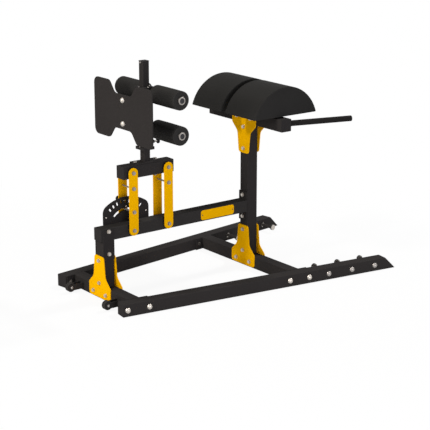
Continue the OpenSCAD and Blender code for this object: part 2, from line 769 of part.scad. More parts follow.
// One pad as rings of its half-round outline, drawn in at both ends and swelling at the middle
pad_steps = 24;
pad_lean = asin(pad_rise / pad_r);
function pad_swell(t) = pad_crown * sin(180 * t);
function pad_ring(t, inset) = [
    for (i = [0:pad_steps]) let (a = pad_lean + (180 - 2 * pad_lean) * i / pad_steps,
        r = pad_r - inset + pad_swell(t) * sin(180 * i / pad_steps),
        z = r * sin(a) - pad_rise)
    [r * cos(a), max(z, inset * 0.25)]];
edge_steps = 4;
module pad_body() {
    // Rows run from one end to the other: [distance along the pad, inset of the outline]
    rows = concat(
        [for (i = [0:edge_steps]) let (a = 90 * i / edge_steps)
            [pad_edge * (1 - cos(a)), pad_edge * (1 - sin(a))]],
        [for (i = [1:7]) [pad_edge + (pad_w - 2 * pad_edge) * i / 8, 0]],
        [for (i = [edge_steps:-1:0]) let (a = 90 * i / edge_steps)
            [pad_w - pad_edge * (1 - cos(a)), pad_edge * (1 - sin(a))]]);
    rings = [for (row = rows) [for (p = pad_ring(row[0] / pad_w, row[1])) [p[0], row[0], p[1]]]];
    n = pad_steps + 1;
    last = (len(rings) - 1) * n;
    points = [for (ring = rings) each ring];
    sides = [for (k = [0:len(rings) - 2], i = [0:n - 1]) let (j = (i + 1) % n)
        each [[k * n + i, k * n + n + j, k * n + j], [k * n + i, k * n + n + i, k * n + n + j]]];
    ends = [for (i = [1:n - 2]) each [[0, i, i + 1], [last, last + i + 1, last + i]]];
    polyhedron(points, concat(sides, ends));
}
module pad() difference() {
    translate([pad_x, -pad_out, pad_z]) pad_body();
    translate([pad_x - board_half - skin, -board_out - skin, pad_z - 1])
        cube([2 * (board_half + skin), board_out - board_in + 2 * skin, board_t + skin + 1]);
}
module near_pad() placed() color("#2e2e2c") pad();
module far_pad() placed() color("#2e2e2c") mirror([0, 1, 0]) pad();

// Handles, cut flat where they are welded to the crossbeam
module handle() difference() {
    translate([main_x + tube_w, -handle_y, crossbeam_top - half_w]) rotate(-handle_splay)
        rod_x(handle_d, -handle_d, handle_len, 0, 0);
    translate([main_x + tube_w - far_cut, -handle_y - far_cut / 2, crossbeam_z - 1])
        cube([far_cut, far_cut, tube_w + 2]);
}
module near_handle() placed() color("#2b2a29") handle();
module far_handle() placed() color("#2b2a29") mirror([0, 1, 0]) handle();

// Band pegs
module at_pegs() both_sides() at_near_rail()
    for (x = peg_places)
        facing_y(x, tube_w, half_w) children();
module band_pegs() placed() color("#2b2a29") at_pegs() difference() {
    translate([0, 0, washer_t]) cylinder(d = peg_d, h = peg_len - peg_disc_t - washer_t);
    translate([0, 0, -1]) cylinder(d = hole_d, h = peg_len / 2 + 2);
}
module band_peg_discs() placed() color("#c8beb4") at_pegs() {
    difference() {
        cylinder(d = peg_washer_d, h = washer_t);
        translate([0, 0, -1]) cylinder(d = hole_d, h = washer_t + 2);
    }
    translate([0, 0, peg_len - peg_disc_t]) cylinder(d = peg_disc_d, h = peg_disc_t);
}

// Wheels
bracket_gap = wheel_w / 2 + side_gap;
module wheel_bracket() difference() {
    for (s = [-1, 1])
        translate([0, s > 0 ? bracket_gap : -bracket_gap - bracket_t, wheel_z - bracket_h / 2]) {
            translate([-wheel_back, 0, 0]) cube([wheel_back, bracket_t, bracket_h]);
            rod_y(bracket_h, 0, bracket_t, -wheel_back, bracket_h / 2);
        }
    rod_y(small_bolt_d + 2 * hole_gap, -wheel_w, wheel_w, -wheel_back, wheel_z);
}
module bracket_base() translate([-bracket_t, -bracket_gap, wheel_z - bracket_h / 2])
    cube([bracket_t, 2 * bracket_gap, bracket_h]);
module wheel_brackets() placed() color("#2b2a29") both_sides() translate([0, wheel_y, 0]) {
    wheel_bracket();
    bracket_base();
}
module wheel_axles() placed() color("#c8beb4") both_sides() translate([0, wheel_y, 0]) {
    rod_y(small_bolt_d, -bracket_gap - bracket_t, bracket_gap + bracket_t, -wheel_back, wheel_z);
    for (s = [-1, 1])
        translate([-wheel_back, s * (bracket_gap + bracket_t), wheel_z]) rotate([s * 90, 0, 0])
            dome(2 * small_bolt_d, small_bolt_d / 2);
}
module wheel() translate([0, wheel_y, 0]) difference() {
    rod_y(wheel_d, -wheel_w / 2, wheel_w / 2, -wheel_back, wheel_z);
    rod_y(small_bolt_d + 2 * run_gap, -wheel_w, wheel_w, -wheel_back, wheel_z);
}
module near_wheel() placed() color("#3a3836") mirror([0, 1, 0]) wheel();
module far_wheel() placed() color("#3a3836") wheel();

// Flat links
module link_outline(holes) difference() {
    union() {
        circle(d = link_w);
        translate([0, link_len]) circle(d = link_w);
        translate([-link_w / 2, 0]) square([link_w, link_len]);
    }
    for (h = holes)
        translate([0, h[0]]) circle(d = h[1]);
}
plain_holes = [[0, hole_d], [link_len, hole_d], [brace_r, brace_d + 2 * hole_gap]];
guide_holes = concat(plain_holes, [[guide_r, hole_d]]);
lock_holes = concat(guide_holes, [[lock_r, nose_d + 2 * run_gap]]);
module near_link(x, holes) along_y(-link_out, -link_half, x, beam_mid) link_outline(holes);
module far_link(x, holes) along_y(link_half, link_out, x, beam_mid) link_outline(holes);
module link_bolt(x, r, d) facing_y(x, -link_out, beam_mid + r) bolt_and_nut(2 * link_out, d);
module link_bolts(x) {
    link_bolt(x, 0, bolt_d);
    link_bolt(x, link_len, bolt_d);
    link_bolt(x, brace_r, brace_d);
}
module spacers(x)
    for (z = [beam_mid, top_z])
        both_sides() difference() {
            rod_y(spacer_d, -link_half, -bush_face - side_gap, x, z);
            rod_y(hole_d, -link_half - 1, -bush_face, x, z);
        }
module rear_near_link() placed() color("#dea500") near_link(pivot_x, guide_holes);
module rear_far_link() placed() color("#dea500") far_link(pivot_x, lock_holes);
module front_near_link() placed() color("#dea500") near_link(front_x, plain_holes);
module front_far_link() placed() color("#dea500") far_link(front_x, plain_holes);
module rear_link_bolts() placed() color("#c8beb4") {
    link_bolts(pivot_x);
    link_bolt(pivot_x, guide_r, bolt_d);
}
module front_link_bolts() placed() color("#c8beb4") link_bolts(front_x);
module rear_spacers() placed() color("#2b2a29") spacers(pivot_x);
module front_spacers() placed() color("#2b2a29") spacers(front_x);

// Pull pins: a pin points up along Z towards its hole, and its seat is at Z = 0
module pin_housing(h) difference() {
    translate([0, 0, -h]) cylinder(d = housing_d, h = h);
    translate([0, 0, -h - 1]) cylinder(d = nose_d + 2 * run_gap, h = h + 2);
}
module pull_pin(h, nose) {
    translate([0, 0, -h - knob_gap]) cylinder(d = nose_d, h = h + knob_gap + nose);
    translate([0, 0, -h - knob_gap - knob_len]) cylinder(d = knob_d, h = knob_len);
}
module at_link_pin() translate([pivot_x, link_out, beam_mid + lock_r]) rotate([90, 0, 0]) children();
module at_carriage_pin() translate([post_x + sleeve_face, 0, pin_z]) rotate([0, -90, 0]) children();
module link_pin_housing() placed() color("#c8beb4") at_link_pin() pin_housing(link_housing_len);
module link_pin() placed() color("#1f1f1f") at_link_pin()
    pull_pin(link_housing_len, link_out - half_w - pin_clear);
module carriage_pin_housing() placed() color("#c8beb4") at_carriage_pin()
    pin_housing(carriage_housing_len);
module carriage_pin() placed() color("#1f1f1f") at_carriage_pin()
    pull_pin(carriage_housing_len, sleeve_face - post_w / 2 - pin_clear);

// Pivot block and post
post_hole_d = nose_d + 1;
module post_bolt_holes(z0, z1)
    for (s = [-1, 1])
        rod_z(hole_d, z0, z1, post_x + s * post_bolt_x, 0);
module pivot_block() placed() color("#33312f") difference() {
    along_x(post_x - block_len / 2 + cap_t, post_x + block_len / 2 - cap_t, 0, top_z) tube_section();
    for (x = [pivot_x, front_x])
        bush_seats(x, top_z);
    post_bolt_holes(top_z - half_w - 1, block_top + 1);
}
module post_cap_section()
    rounded_rect(post_w + 2 * post_cap_out, post_w + 2 * post_cap_out, post_corner + post_cap_out);
module post_caps() placed() color("#262626") {
    for (x = [post_x - block_len / 2, post_x + block_len / 2 - cap_t])
        along_x(x, x + cap_t, 0, top_z) solid_section();
    along_z(post_top - post_cap_t, post_top, post_x, 0) post_cap_section();
}
module post() placed() color("#33312f") difference() {
    along_z(post_z, post_top - post_cap_t, post_x, 0) difference() {
        rounded_rect(post_w, post_w, post_corner);
        rounded_rect(post_w - 2 * post_wall, post_w - 2 * post_wall, post_corner / 2);
    }
    for (i = [-holes_down:holes_up])
        rod_x(post_hole_d, post_x, post_x + post_w, 0, pin_z + i * hole_pitch);
    rod_x(small_bolt_d + 2 * hole_gap, post_x - post_w, post_x, 0, post_top - stop_drop);
}
module post_base_plate() placed() color("#2e2d2b") difference() {
    translate([post_x - post_plate_len / 2, -half_w, block_top]) cube([post_plate_len, tube_w, post_plate_t]);
    post_bolt_holes(block_top - 1, post_z + 1);
}
module post_bolts() placed() color("#c8beb4") {
    for (s = [-1, 1])
        translate([post_x + s * post_bolt_x, 0, post_z]) rotate([180, 0, 0])
            bolt_and_nut(post_plate_t + tube_w);
    facing_x(post_x - post_w / 2, 0, post_top - stop_drop) dome(stop_head_d, stop_head_t);
    rod_x(small_bolt_d, post_x - post_w / 2 - 1, post_x - post_w / 4, 0, post_top - stop_drop);
}

// Carriage that slides on the post
module sleeve() placed() color("#33312f") difference() {
    along_z(sleeve_z, sleeve_top, post_x, 0) difference() {
        rounded_rect(sleeve_w, sleeve_w, sleeve_corner);
        rounded_rect(sleeve_w - 2 * sleeve_wall, sleeve_w - 2 * sleeve_wall, sleeve_corner / 2);
    }
    rod_x(nose_d + 2 * run_gap, post_x + post_w / 2, post_x + sleeve_w, 0, pin_z);
}
module collar_screw_places()
    for (a = [0:90:270])
        rotate(a) translate([lip_screw_r, 0, 0]) children();
module collar() difference() {
    union() {
        linear_extrude(collar_t) rounded_rect(collar_w, collar_w, collar_corner);
        translate([0, 0, collar_t]) linear_extrude(lip_len)
            rounded_rect(sleeve_w - 2 * sleeve_wall - skin, sleeve_w - 2 * sleeve_wall - skin, sleeve_corner / 2);
    }
    translate([0, 0, -1]) linear_extrude(collar_t + lip_len + 2)
        rounded_rect(post_w + 2 * slide_gap, post_w + 2 * slide_gap, post_corner);
    collar_screw_places() translate([0, 0, -1]) cylinder(d = lip_screw_d / 2 + 2 * hole_gap, h = collar_t + 2);
}
module slide_collars() placed() color("#1f1f1f") translate([post_x, 0, 0]) {
    translate([0, 0, sleeve_z - collar_t]) collar();
    translate([0, 0, sleeve_top + collar_t]) mirror([0, 0, 1]) collar();
}
module collar_screws() translate([post_x, 0, 0])
    for (z = [sleeve_z, sleeve_top + collar_t])
        translate([0, 0, z]) collar_screw_places() rotate([180, 0, 0])
            screw(lip_screw_d / 2, lip_screw_d, collar_t);

// Footplate and its arm
module footplate_arm() placed() color("#33312f") {
    along_x(arm_face, arm_face + arm_len, 0, footplate_z) difference() {
        rounded_rect(arm_w, arm_w, arm_corner);
        rounded_rect(arm_w - 2 * tube_wall, arm_w - 2 * tube_wall, arm_corner / 2);
    }
    translate([arm_face, 0, footplate_z]) rotate([0, 90, 90]) flange_plate();
}
module footplate_outline() {
    quarter = [
        [footplate_half, wing_half, wing_corner],
        [wing_y, wing_half, wing_corner],
        [middle_w, middle_half, hollow_corner]];
    top = concat(quarter, [for (i = [2:-1:0]) [-quarter[i][0], quarter[i][1], quarter[i][2]]]);
    polygon(rounded(concat(top, [for (i = [5:-1:0]) [top[i][0], -top[i][1], top[i][2]]])));
}
module footplate() placed() color("#33312f") difference() {
    along_x(footplate_x - footplate_t, footplate_x, 0, footplate_z) footplate_outline();
    for (d = flange_bolts)
        rod_x(hole_d, footplate_x - footplate_t - 1, footplate_x + 1, 0, footplate_z + d);
}
module carriage_bolts() placed() color("#c8beb4") {
    for (d = flange_bolts)
        facing_x(footplate_x - footplate_t, 0, footplate_z + d) {
            domed_bolt(footplate_t + flange_t + washer_t + nut_t + bolt_tail);
            translate([0, 0, footplate_t + flange_t]) nut();
        }
    collar_screws();
}

// Axles and foam rollers
axle_places = [sleeve_z + axle_rise, sleeve_z + axle_rise + axle_pitch];
inner_ring_t = 6;
ring_in = roller_in - side_gap;
ring_out = roller_out + side_gap;
axle_end = ring_out + end_ring_t;
axle_bore_d = axle_d - 5;
module roller_axle(z) difference() {
    union() {
        rod_y(axle_d, -axle_end, axle_end, axle_x, z);
        both_sides() rod_y(end_ring_d, ring_out, axle_end, axle_x, z);
        both_sides() rod_y(end_ring_d, ring_in - inner_ring_t, ring_in, axle_x, z);
        translate([post_x + sleeve_face, -sleeve_face + 5, z - axle_d / 2])
            cube([axle_d / 2, sleeve_w - 10, axle_d]);
    }
    rod_y(axle_bore_d, -axle_end - 1, axle_end + 1, axle_x, z);
}
module roller_axles() placed() color("#c8beb4")
    for (z = axle_places)
        roller_axle(z);
module roller(z) translate([axle_x, roller_in, z]) rotate([-90, 0, 0]) rotate_extrude($fn = 96) {
    bore = axle_d / 2 + run_gap;
    skin_r = roller_d / 2;
    translate([bore, 0]) square([skin_r - roller_edge - bore, roller_len]);
    translate([skin_r - roller_edge - 1, roller_edge]) square([roller_edge + 1, roller_len - 2 * roller_edge]);
    for (y = [roller_edge, roller_len - roller_edge])
        translate([skin_r - roller_edge, y]) circle(roller_edge);
}
module upper_near_roller() placed() color("#2c2b29") mirror([0, 1, 0]) roller(axle_places[1]);
module upper_far_roller() placed() color("#2c2b29") roller(axle_places[1]);
module lower_near_roller() placed() color("#2c2b29") mirror([0, 1, 0]) roller(axle_places[0]);
module lower_far_roller() placed() color("#2c2b29") roller(axle_places[0]);

near_rail();
far_rail();
tube_end_caps();
rear_cross_tube();
front_cross_tube();
flange_plates();
rail_bolts();
rear_upright();
main_upright();
rear_foot_gussets();
main_foot_gussets();
main_top_gussets();
frame_bolts();
lower_beam();
beam_side_plates();
badge_plate();
sector_plate();
small_screws();
beam_bushes();
pad_crossbeam();
pad_mount_plates();
pad_boards();
near_pad();
far_pad();
near_handle();
far_handle();
band_pegs();
band_peg_discs();
wheel_brackets();
wheel_axles();
near_wheel();
far_wheel();
rear_near_link();
rear_far_link();
rear_link_bolts();
rear_spacers();
link_pin_housing();
link_pin();
front_near_link();
front_far_link();
front_link_bolts();
front_spacers();
pivot_block();
post_caps();
block_bushes();
post();
post_base_plate();
post_bolts();
sleeve();
slide_collars();
roller_axles();
footplate_arm();
footplate();
carriage_bolts();
carriage_pin_housing();
carriage_pin();
upper_near_roller();
upper_far_roller();
lower_near_roller();
lower_far_roller();
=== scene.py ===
"""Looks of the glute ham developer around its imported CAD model.

All lengths are in metres in the shared frame: +X towards the handles, +Y away from the camera's
side, Z up, the floor at Z = 0. Colours are linear. Node and slot names are those of the record.
"""

from math import asin, cos, hypot, pi, radians, sin, tanh

import bmesh
import bpy
from mathutils import Matrix, Vector, noise


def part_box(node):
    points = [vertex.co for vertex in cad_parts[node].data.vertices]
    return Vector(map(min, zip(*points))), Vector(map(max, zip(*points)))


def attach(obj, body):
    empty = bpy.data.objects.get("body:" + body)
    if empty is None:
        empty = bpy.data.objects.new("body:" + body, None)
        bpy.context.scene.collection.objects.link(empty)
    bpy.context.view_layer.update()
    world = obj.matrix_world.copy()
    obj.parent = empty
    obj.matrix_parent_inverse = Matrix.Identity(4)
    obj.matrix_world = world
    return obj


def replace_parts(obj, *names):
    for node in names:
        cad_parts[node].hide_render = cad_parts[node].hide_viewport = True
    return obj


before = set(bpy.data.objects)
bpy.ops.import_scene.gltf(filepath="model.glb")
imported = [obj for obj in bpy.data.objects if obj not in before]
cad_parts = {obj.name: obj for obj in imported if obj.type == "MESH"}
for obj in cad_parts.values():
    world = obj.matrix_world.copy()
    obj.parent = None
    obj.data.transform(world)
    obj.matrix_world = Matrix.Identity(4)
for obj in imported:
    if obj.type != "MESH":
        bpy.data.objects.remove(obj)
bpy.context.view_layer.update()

MM = 0.001
TINY = 1e-7
FLAT = 1e-6
SHARP_ANGLE = radians(38)

# Camera, fitted to the photograph
CAMERA_TARGET = Vector((-0.0008, 0.0, 0.3616))
CAMERA_HEADING = radians(52.78)
CAMERA_DROP = radians(15.94)
CAMERA_DISTANCE = 8.5274
CAMERA_LENS = 117.0
SENSOR_WIDTH = 36.0

# Lamps: name, place, aim, size, power in watts, colour. Two stand high, behind the footplate and
# at the handles' end. Two broad ones stand low, behind the footplate and on the camera's side.
LAMPS = (
    ("key", (-8.0, 0.0, 8.3), (-0.2, 0, 0.5), (1.2, 1.2), 550, (1.0, 0.95, 0.90)),
    ("back", (5.79, 0.0, 7.52), (0, 0, 0.5), (0.6, 0.6), 520, (1, 1, 1)),
    ("low_rear", (-8.5, -0.8, 3.5), (-0.4, 0, 0.5), (2.5, 1.5), 240, (1.0, 0.93, 0.87)),
    ("side", (-1.5, -9.6, 1.4), (0, 0, 0.5), (5.0, 2.6), 325, (0.94, 0.91, 1.0)),
)
AMBIENT = 0.30
WHITE = (1.0, 1.0, 1.0, 1)

# Floor, a little below the object's feet
FLOOR_REACH = 60.0
FLOOR_DROP = 0.0005
FLOOR_BOUNCE = 0.80
SHADOW_SHARE = 0.08
SHADOW_REACH = (1.1, 2.6)

# Surfaces that several materials share
NICKEL = (0.56, 0.52, 0.47, 1)
NICKEL_BLOTCH = (0.42, 0.385, 0.34, 1)
NICKEL_ROUGHNESS = 0.40
BLACK_ROUGHNESS = 0.60
BLACK_SPECULAR = 0.002
# Sockets of a Mix node for colours
MIX_FACTOR, MIX_FIRST, MIX_SECOND, MIX_RESULT = 0, 6, 7, 2


# Materials
def shade(colour, factor):
    return tuple(c * factor for c in colour[:3]) + (1.0,)


class Surface:
    """A principled material and the nodes that give it its variation."""

    def __init__(self, name, colour, roughness, metallic=0.0, specular=0.5):
        self.material = bpy.data.materials.new(name)
        self.material.use_nodes = True
        self.material.diffuse_color = colour
        self.tree = self.material.node_tree
        self.shader = self.tree.nodes["Principled BSDF"]
        self.colour = colour
        self.shader.inputs["Base Color"].default_value = colour
        self.shader.inputs["Roughness"].default_value = roughness
        self.shader.inputs["Metallic"].default_value = metallic
        self.shader.inputs["Specular IOR Level"].default_value = specular
        self.place = self.tree.nodes.new("ShaderNodeTexCoord")
        self.last_normal = None

    def node(self, kind, **inputs):
        made = self.tree.nodes.new(kind)
        for key, value in inputs.items():
            made.inputs[key.replace("_", " ")].default_value = value
        return made

    def link(self, source, target):
        self.tree.links.new(source, target)

    def noise(self, scale, detail=3.0, roughness=0.5, stretch=(1, 1, 1)):
        mapping = self.node("ShaderNodeMapping", Scale=stretch)
        self.link(self.place.outputs["Object"], mapping.inputs["Vector"])
        made = self.node("ShaderNodeTexNoise", Scale=scale, Detail=detail, Roughness=roughness)
        self.link(mapping.outputs["Vector"], made.inputs["Vector"])
        return made.outputs["Fac"]

    def cells(self, scale):
        made = self.node("ShaderNodeTexVoronoi", Scale=scale)
        self.link(self.place.outputs["Object"], made.inputs["Vector"])
        return made.outputs["Distance"]

    def ramp(self, source, low, high, from_low=0.3, from_high=0.7):
        """Source carried from one range of values to another."""
        made = self.node("ShaderNodeMapRange", From_Min=from_low, From_Max=from_high,
                         To_Min=low, To_Max=high)
        self.link(source, made.inputs["Value"])
        return made.outputs["Result"]

    def split(self, output):
        """The parts along X, Y and Z of one of the texture coordinates."""
        made = self.node("ShaderNodeSeparateXYZ")
        self.link(self.place.outputs[output], made.inputs[0])
        return made.outputs

    def calculate(self, operation, *sources):
        made = self.node("ShaderNodeMath")
        made.operation = operation
        for source, target in zip(sources, made.inputs):
            self.link(source, target)
        return made.outputs[0]

    def tint(self, factor, other):
        """Mixes the colour so far with another one by a factor."""
        made = self.node("ShaderNodeMix")
        made.data_type = "RGBA"
        colour_in = self.shader.inputs["Base Color"]
        if colour_in.is_linked:
            self.link(colour_in.links[0].from_socket, made.inputs[MIX_FIRST])
        else:
            made.inputs[MIX_FIRST].default_value = self.colour
        made.inputs[MIX_SECOND].default_value = other
        self.link(factor, made.inputs[MIX_FACTOR])
        self.link(made.outputs[MIX_RESULT], colour_in)

    def blotches(self, scale, amount, other, detail=3.0):
        """Tints soft patches with another colour, up to an amount."""
        self.tint(self.ramp(self.noise(scale, detail), 0.0, amount), other)

    def rough(self, source, low, high):
        self.link(self.ramp(source, low, high), self.shader.inputs["Roughness"])

    def bump(self, source, height, strength):
        made = self.node("ShaderNodeBump", Strength=strength, Distance=height)
        self.link(source, made.inputs["Height"])
        if self.last_normal is not None:
            self.link(self.last_normal, made.inputs["Normal"])
        self.last_normal = made.outputs["Normal"]
        self.link(self.last_normal, self.shader.inputs["Normal"])

    def worn_and_highlit_edges(self, radius, other, amount):
        """Edges of another colour where the coating thins; on the black coats the lighter edge is
        also a painted highlight where light catches.
        """
        bevel = self.node("ShaderNodeBevel", Radius=radius)
        bevel.samples = 4
        flat = self.node("ShaderNodeNewGeometry")
        dot = self.node("ShaderNodeVectorMath")
        dot.operation = "DOT_PRODUCT"
        self.link(bevel.outputs["Normal"], dot.inputs[0])
        self.link(flat.outputs["Normal"], dot.inputs[1])
        edge = self.ramp(dot.outputs["Value"], amount, 0.0, from_low=0.80, from_high=0.995)
        self.tint(edge, other)


def powder_coat(name, colour, roughness=BLACK_ROUGHNESS, specular=BLACK_SPECULAR,
                grain=0.05 * MM):
    """Baked paint: broad drift of tone, a fine orange-peel skin and slightly uneven gloss."""
    made = Surface(name, colour, roughness, specular=specular)
    skin = made.noise(700.0, detail=2.0)
    made.blotches(3.5, 1.0, shade(colour, 1.08), detail=2.0)
    made.tint(made.ramp(skin, 0.0, 0.5, from_low=0.45, from_high=0.75), shade(colour, 0.95))
    made.rough(made.noise(40.0), roughness - 0.05, roughness + 0.07)
    made.bump(skin, grain, strength=0.2)
    return made


def bare_metal(name, colour, darker, roughness, metallic=1.0):
    """Plated or blackened steel with faint blotches and fine scratches."""
    made = Surface(name, colour, roughness, metallic=metallic)
    made.blotches(160.0, 0.6, darker)
    made.rough(made.noise(90.0), roughness - 0.06, roughness + 0.10)
    made.bump(made.noise(1400.0, detail=2.0), 0.02 * MM, strength=0.4)
    return made


def moulded(name, colour, other, roughness, specular, blotch=14.0):
    """Moulded plastic or rubber with a fine matt skin."""
    made = Surface(name, colour, roughness, specular=specular)
    made.blotches(blotch, 0.8, other)
    made.rough(made.noise(260.0), roughness - 0.08, roughness + 0.08)
    made.bump(made.noise(1500.0, detail=2.0), 0.03 * MM, strength=0.5)
    return made


def coats():
    """Powder coats, and along the edges of each a thinner coat, lighter on the black ones as a
    painted highlight.
    """
    steel = powder_coat("black_powder_coat", (0.0290, 0.0268, 0.0262, 1))
    steel.worn_and_highlit_edges(1.2 * MM, (0.042, 0.040, 0.039, 1), 0.25)
    plate = powder_coat("black_plate_coat", (0.0270, 0.0250, 0.0245, 1))
    plate.worn_and_highlit_edges(1.0 * MM, (0.045, 0.043, 0.042, 1), 0.30)
    beam = powder_coat("black_beam_coat", (0.0318, 0.0302, 0.0290, 1))
    beam.worn_and_highlit_edges(1.2 * MM, (0.050, 0.048, 0.047, 1), 0.30)
    yellow = powder_coat("yellow_powder_coat", (0.82, 0.422, 0.0002, 1),
                         roughness=0.55, specular=0.004, grain=0.04 * MM)
    yellow.worn_and_highlit_edges(1.0 * MM, (0.80, 0.36, 0.0008, 1), 0.5)
    weld = powder_coat("painted_weld", (0.0250, 0.0232, 0.0228, 1),
                       roughness=0.55, specular=0.004, grain=0.1 * MM)
    return {"steel": steel, "plate": plate, "beam": beam, "yellow": yellow, "weld": weld}


def rail_nickel():
    """Bolts through the rails, darker near the handles' end and with dark nuts between the rails:
    both are painted shade.
    """
    made = bare_metal("rail_nickel", NICKEL, NICKEL_BLOTCH, NICKEL_ROUGHNESS)
    axes = made.split("Object")
    facing = made.split("Normal")
    outward = made.calculate("MULTIPLY", axes["Y"], facing["Y"])
    # Painted shade: the bolts towards the handles' end are tinted darker.
    front = made.ramp(axes["X"], 0.0, 1.0, from_low=0.38, from_high=0.42)
    made.tint(front, (0.32, 0.30, 0.28, 1))
    # Painted shade: faces turned towards the other rail, the nuts between the rails, are tinted
    # dark.
    inner = made.ramp(outward, 0.85, 0.0, from_low=-0.05, from_high=0.0)
    made.tint(inner, (0.06, 0.057, 0.055, 1))
    return made


def disc_nickel():
    """End discs of the band pegs: bright faces, and rims tinted dark as painted shade."""
    made = bare_metal("disc_nickel", NICKEL, NICKEL_BLOTCH, NICKEL_ROUGHNESS)
    facing = made.calculate("ABSOLUTE", made.split("Normal")["Y"])
    # Painted shade: faces not turned along Y, the rims, are tinted dark.
    made.tint(made.ramp(facing, 1.0, 0.0, from_low=0.6, from_high=0.9), (0.04, 0.04, 0.038, 1))
    return made


def metals():
    return {
        "nickel": bare_metal("bright_nickel", NICKEL, NICKEL_BLOTCH, NICKEL_ROUGHNESS),
        "rail_nickel": rail_nickel(),
        "zinc": bare_metal("dull_zinc", (0.33, 0.31, 0.285, 1), (0.24, 0.225, 0.21, 1), 0.48),
        "disc_nickel": disc_nickel(),
        "dark_steel": bare_metal("blackened_steel", (0.060, 0.058, 0.056, 1),
                                 (0.042, 0.041, 0.040, 1), 0.42, metallic=0.6),
    }


def mouldings():
    return {
        "plastic": moulded("black_plastic", (0.0265, 0.0247, 0.0245, 1),
                           (0.030, 0.028, 0.028, 1), roughness=0.50, specular=0.004),
        "plug": moulded("grey_plug", (0.050, 0.050, 0.052, 1),
                        (0.040, 0.040, 0.042, 1), roughness=0.50, specular=0.02),
        "wheel": moulded("wheel_plastic", (0.036, 0.034, 0.032, 1),
                         (0.029, 0.027, 0.026, 1), roughness=0.55, specular=0.01, blotch=50.0),
        "bush": moulded("bush_plastic", (0.30, 0.24, 0.13, 1),
                        (0.22, 0.17, 0.09, 1), roughness=0.5, specular=0.3, blotch=60.0),
    }


def pad_vinyl():
    """Leathercloth: a fine cell grain with creases over it."""
    made = Surface("pad_vinyl", (0.0246, 0.0244, 0.0233, 1), 0.60, specular=0.004)
    grain = made.cells(620.0)
    creases = made.noise(240.0, detail=4.0, roughness=0.6)
    made.tint(made.ramp(grain, 0.30, 0.0, from_low=0.0, from_high=0.6),
              (0.0187, 0.0185, 0.0176, 1))
    made.blotches(5.0, 0.7, (0.0270, 0.0266, 0.0255, 1), detail=2.0)
    made.rough(creases, 0.52, 0.68)
    made.bump(grain, 0.16 * MM, strength=0.4)
    made.bump(creases, 0.12 * MM, strength=0.3)
    return made


def roller_foam():
    """Dense foam with small pores."""
    made = Surface("roller_foam", (0.0300, 0.0296, 0.0286, 1), 0.80, specular=BLACK_SPECULAR)
    pores = made.cells(1300.0)
    made.tint(made.ramp(pores, 0.7, 0.0, from_low=0.0, from_high=0.45),
              (0.0200, 0.0194, 0.0188, 1))
    made.blotches(18.0, 0.7, (0.0315, 0.0307, 0.0298, 1))
    made.rough(made.noise(60.0), 0.64, 0.82)
    made.bump(pores, 0.20 * MM, strength=0.5)
    made.bump(made.noise(90.0), 0.30 * MM, strength=0.3)
    return made


def handle_coat():
    made = Surface("handle_coat", (0.0185, 0.0172, 0.0168, 1), 0.62, specular=BLACK_SPECULAR)
    made.blotches(26.0, 0.8, (0.0150, 0.0140, 0.0137, 1))
    made.rough(made.noise(120.0), 0.56, 0.72)
    made.bump(made.noise(900.0, detail=2.0), 0.06 * MM, strength=0.5)
    return made


def pad_board():
    """Plywood with its streaks along X."""
    made = Surface("pad_board", (0.17, 0.10, 0.055, 1), 0.7, specular=0.2)
    streaks = made.noise(30.0, detail=5.0, roughness=0.6, stretch=(1.0, 14.0, 14.0))
    made.tint(made.ramp(streaks, 0.0, 1.0), (0.10, 0.055, 0.028, 1))
    made.bump(streaks, 0.2 * MM, strength=0.4)
    return made


def build_materials():
    made = coats() | metals() | mouldings()
    made |= {"vinyl": pad_vinyl(), "foam": roller_foam(), "grip": handle_coat(),
             "board": pad_board()}
    return {key: surface.material for key, surface in made.items()}


MATERIALS = build_materials()

CAD_MATERIALS = {
    "steel": ["near_rail", "far_rail", "rear_cross_tube", "front_cross_tube", "rear_upright",
              "main_upright", "pad_crossbeam", "pivot_block", "post", "sleeve",
              "footplate_arm", "footplate", "band_pegs", "wheel_brackets"],
    "grip": ["near_handle", "far_handle"],
    "beam": ["lower_beam"],
    "plate": ["flange_plates", "beam_side_plates", "sector_plate", "pad_mount_plates",
              "post_base_plate", "rear_spacers", "front_spacers"],
    "yellow": ["rear_foot_gussets", "main_foot_gussets", "main_top_gussets", "badge_plate",
               "rear_near_link", "rear_far_link", "front_near_link", "front_far_link"],
    "rail_nickel": ["rail_bolts"],
    "nickel": ["frame_bolts", "small_screws", "carriage_bolts"],
    "disc_nickel": ["band_peg_discs"],
    "zinc": ["wheel_axles", "rear_link_bolts", "front_link_bolts", "post_bolts"],
    "dark_steel": ["link_pin_housing", "carriage_pin_housing"],
    "plastic": ["tube_end_caps", "post_caps", "slide_collars"],
    "bush": ["beam_bushes", "block_bushes"],
    "board": ["pad_boards"],
}


def dress_cad():
    """Gives the CAD nodes that stay in view their materials."""
    for key, names in CAD_MATERIALS.items():
        for name in names:
            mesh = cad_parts[name].data
            mesh.materials.clear()
            mesh.materials.append(MATERIALS[key])


dress_cad()


# Making pieces
def new_piece(name, mesh, material, body):
    """A mesh as a piece of the object that rides on a body and takes a slot's finish."""
    piece = bpy.data.objects.new(name, mesh)
    bpy.context.scene.collection.objects.link(piece)
    mesh.materials.append(MATERIALS[material])
    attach(piece, body)
    return piece


def finish_mesh(name, work, sharp=True):
    """A bmesh as a smooth mesh with its faces turned outward, and sharp edges if it has any."""
    bmesh.ops.recalc_face_normals(work, faces=work.faces)
    mesh = bpy.data.meshes.new(name)
    work.to_mesh(mesh)
    work.free()
    mesh.polygons.foreach_set("use_smooth", [True] * len(mesh.polygons))
    if sharp:
        mesh.set_sharp_from_angle(angle=SHARP_ANGLE)
    return mesh


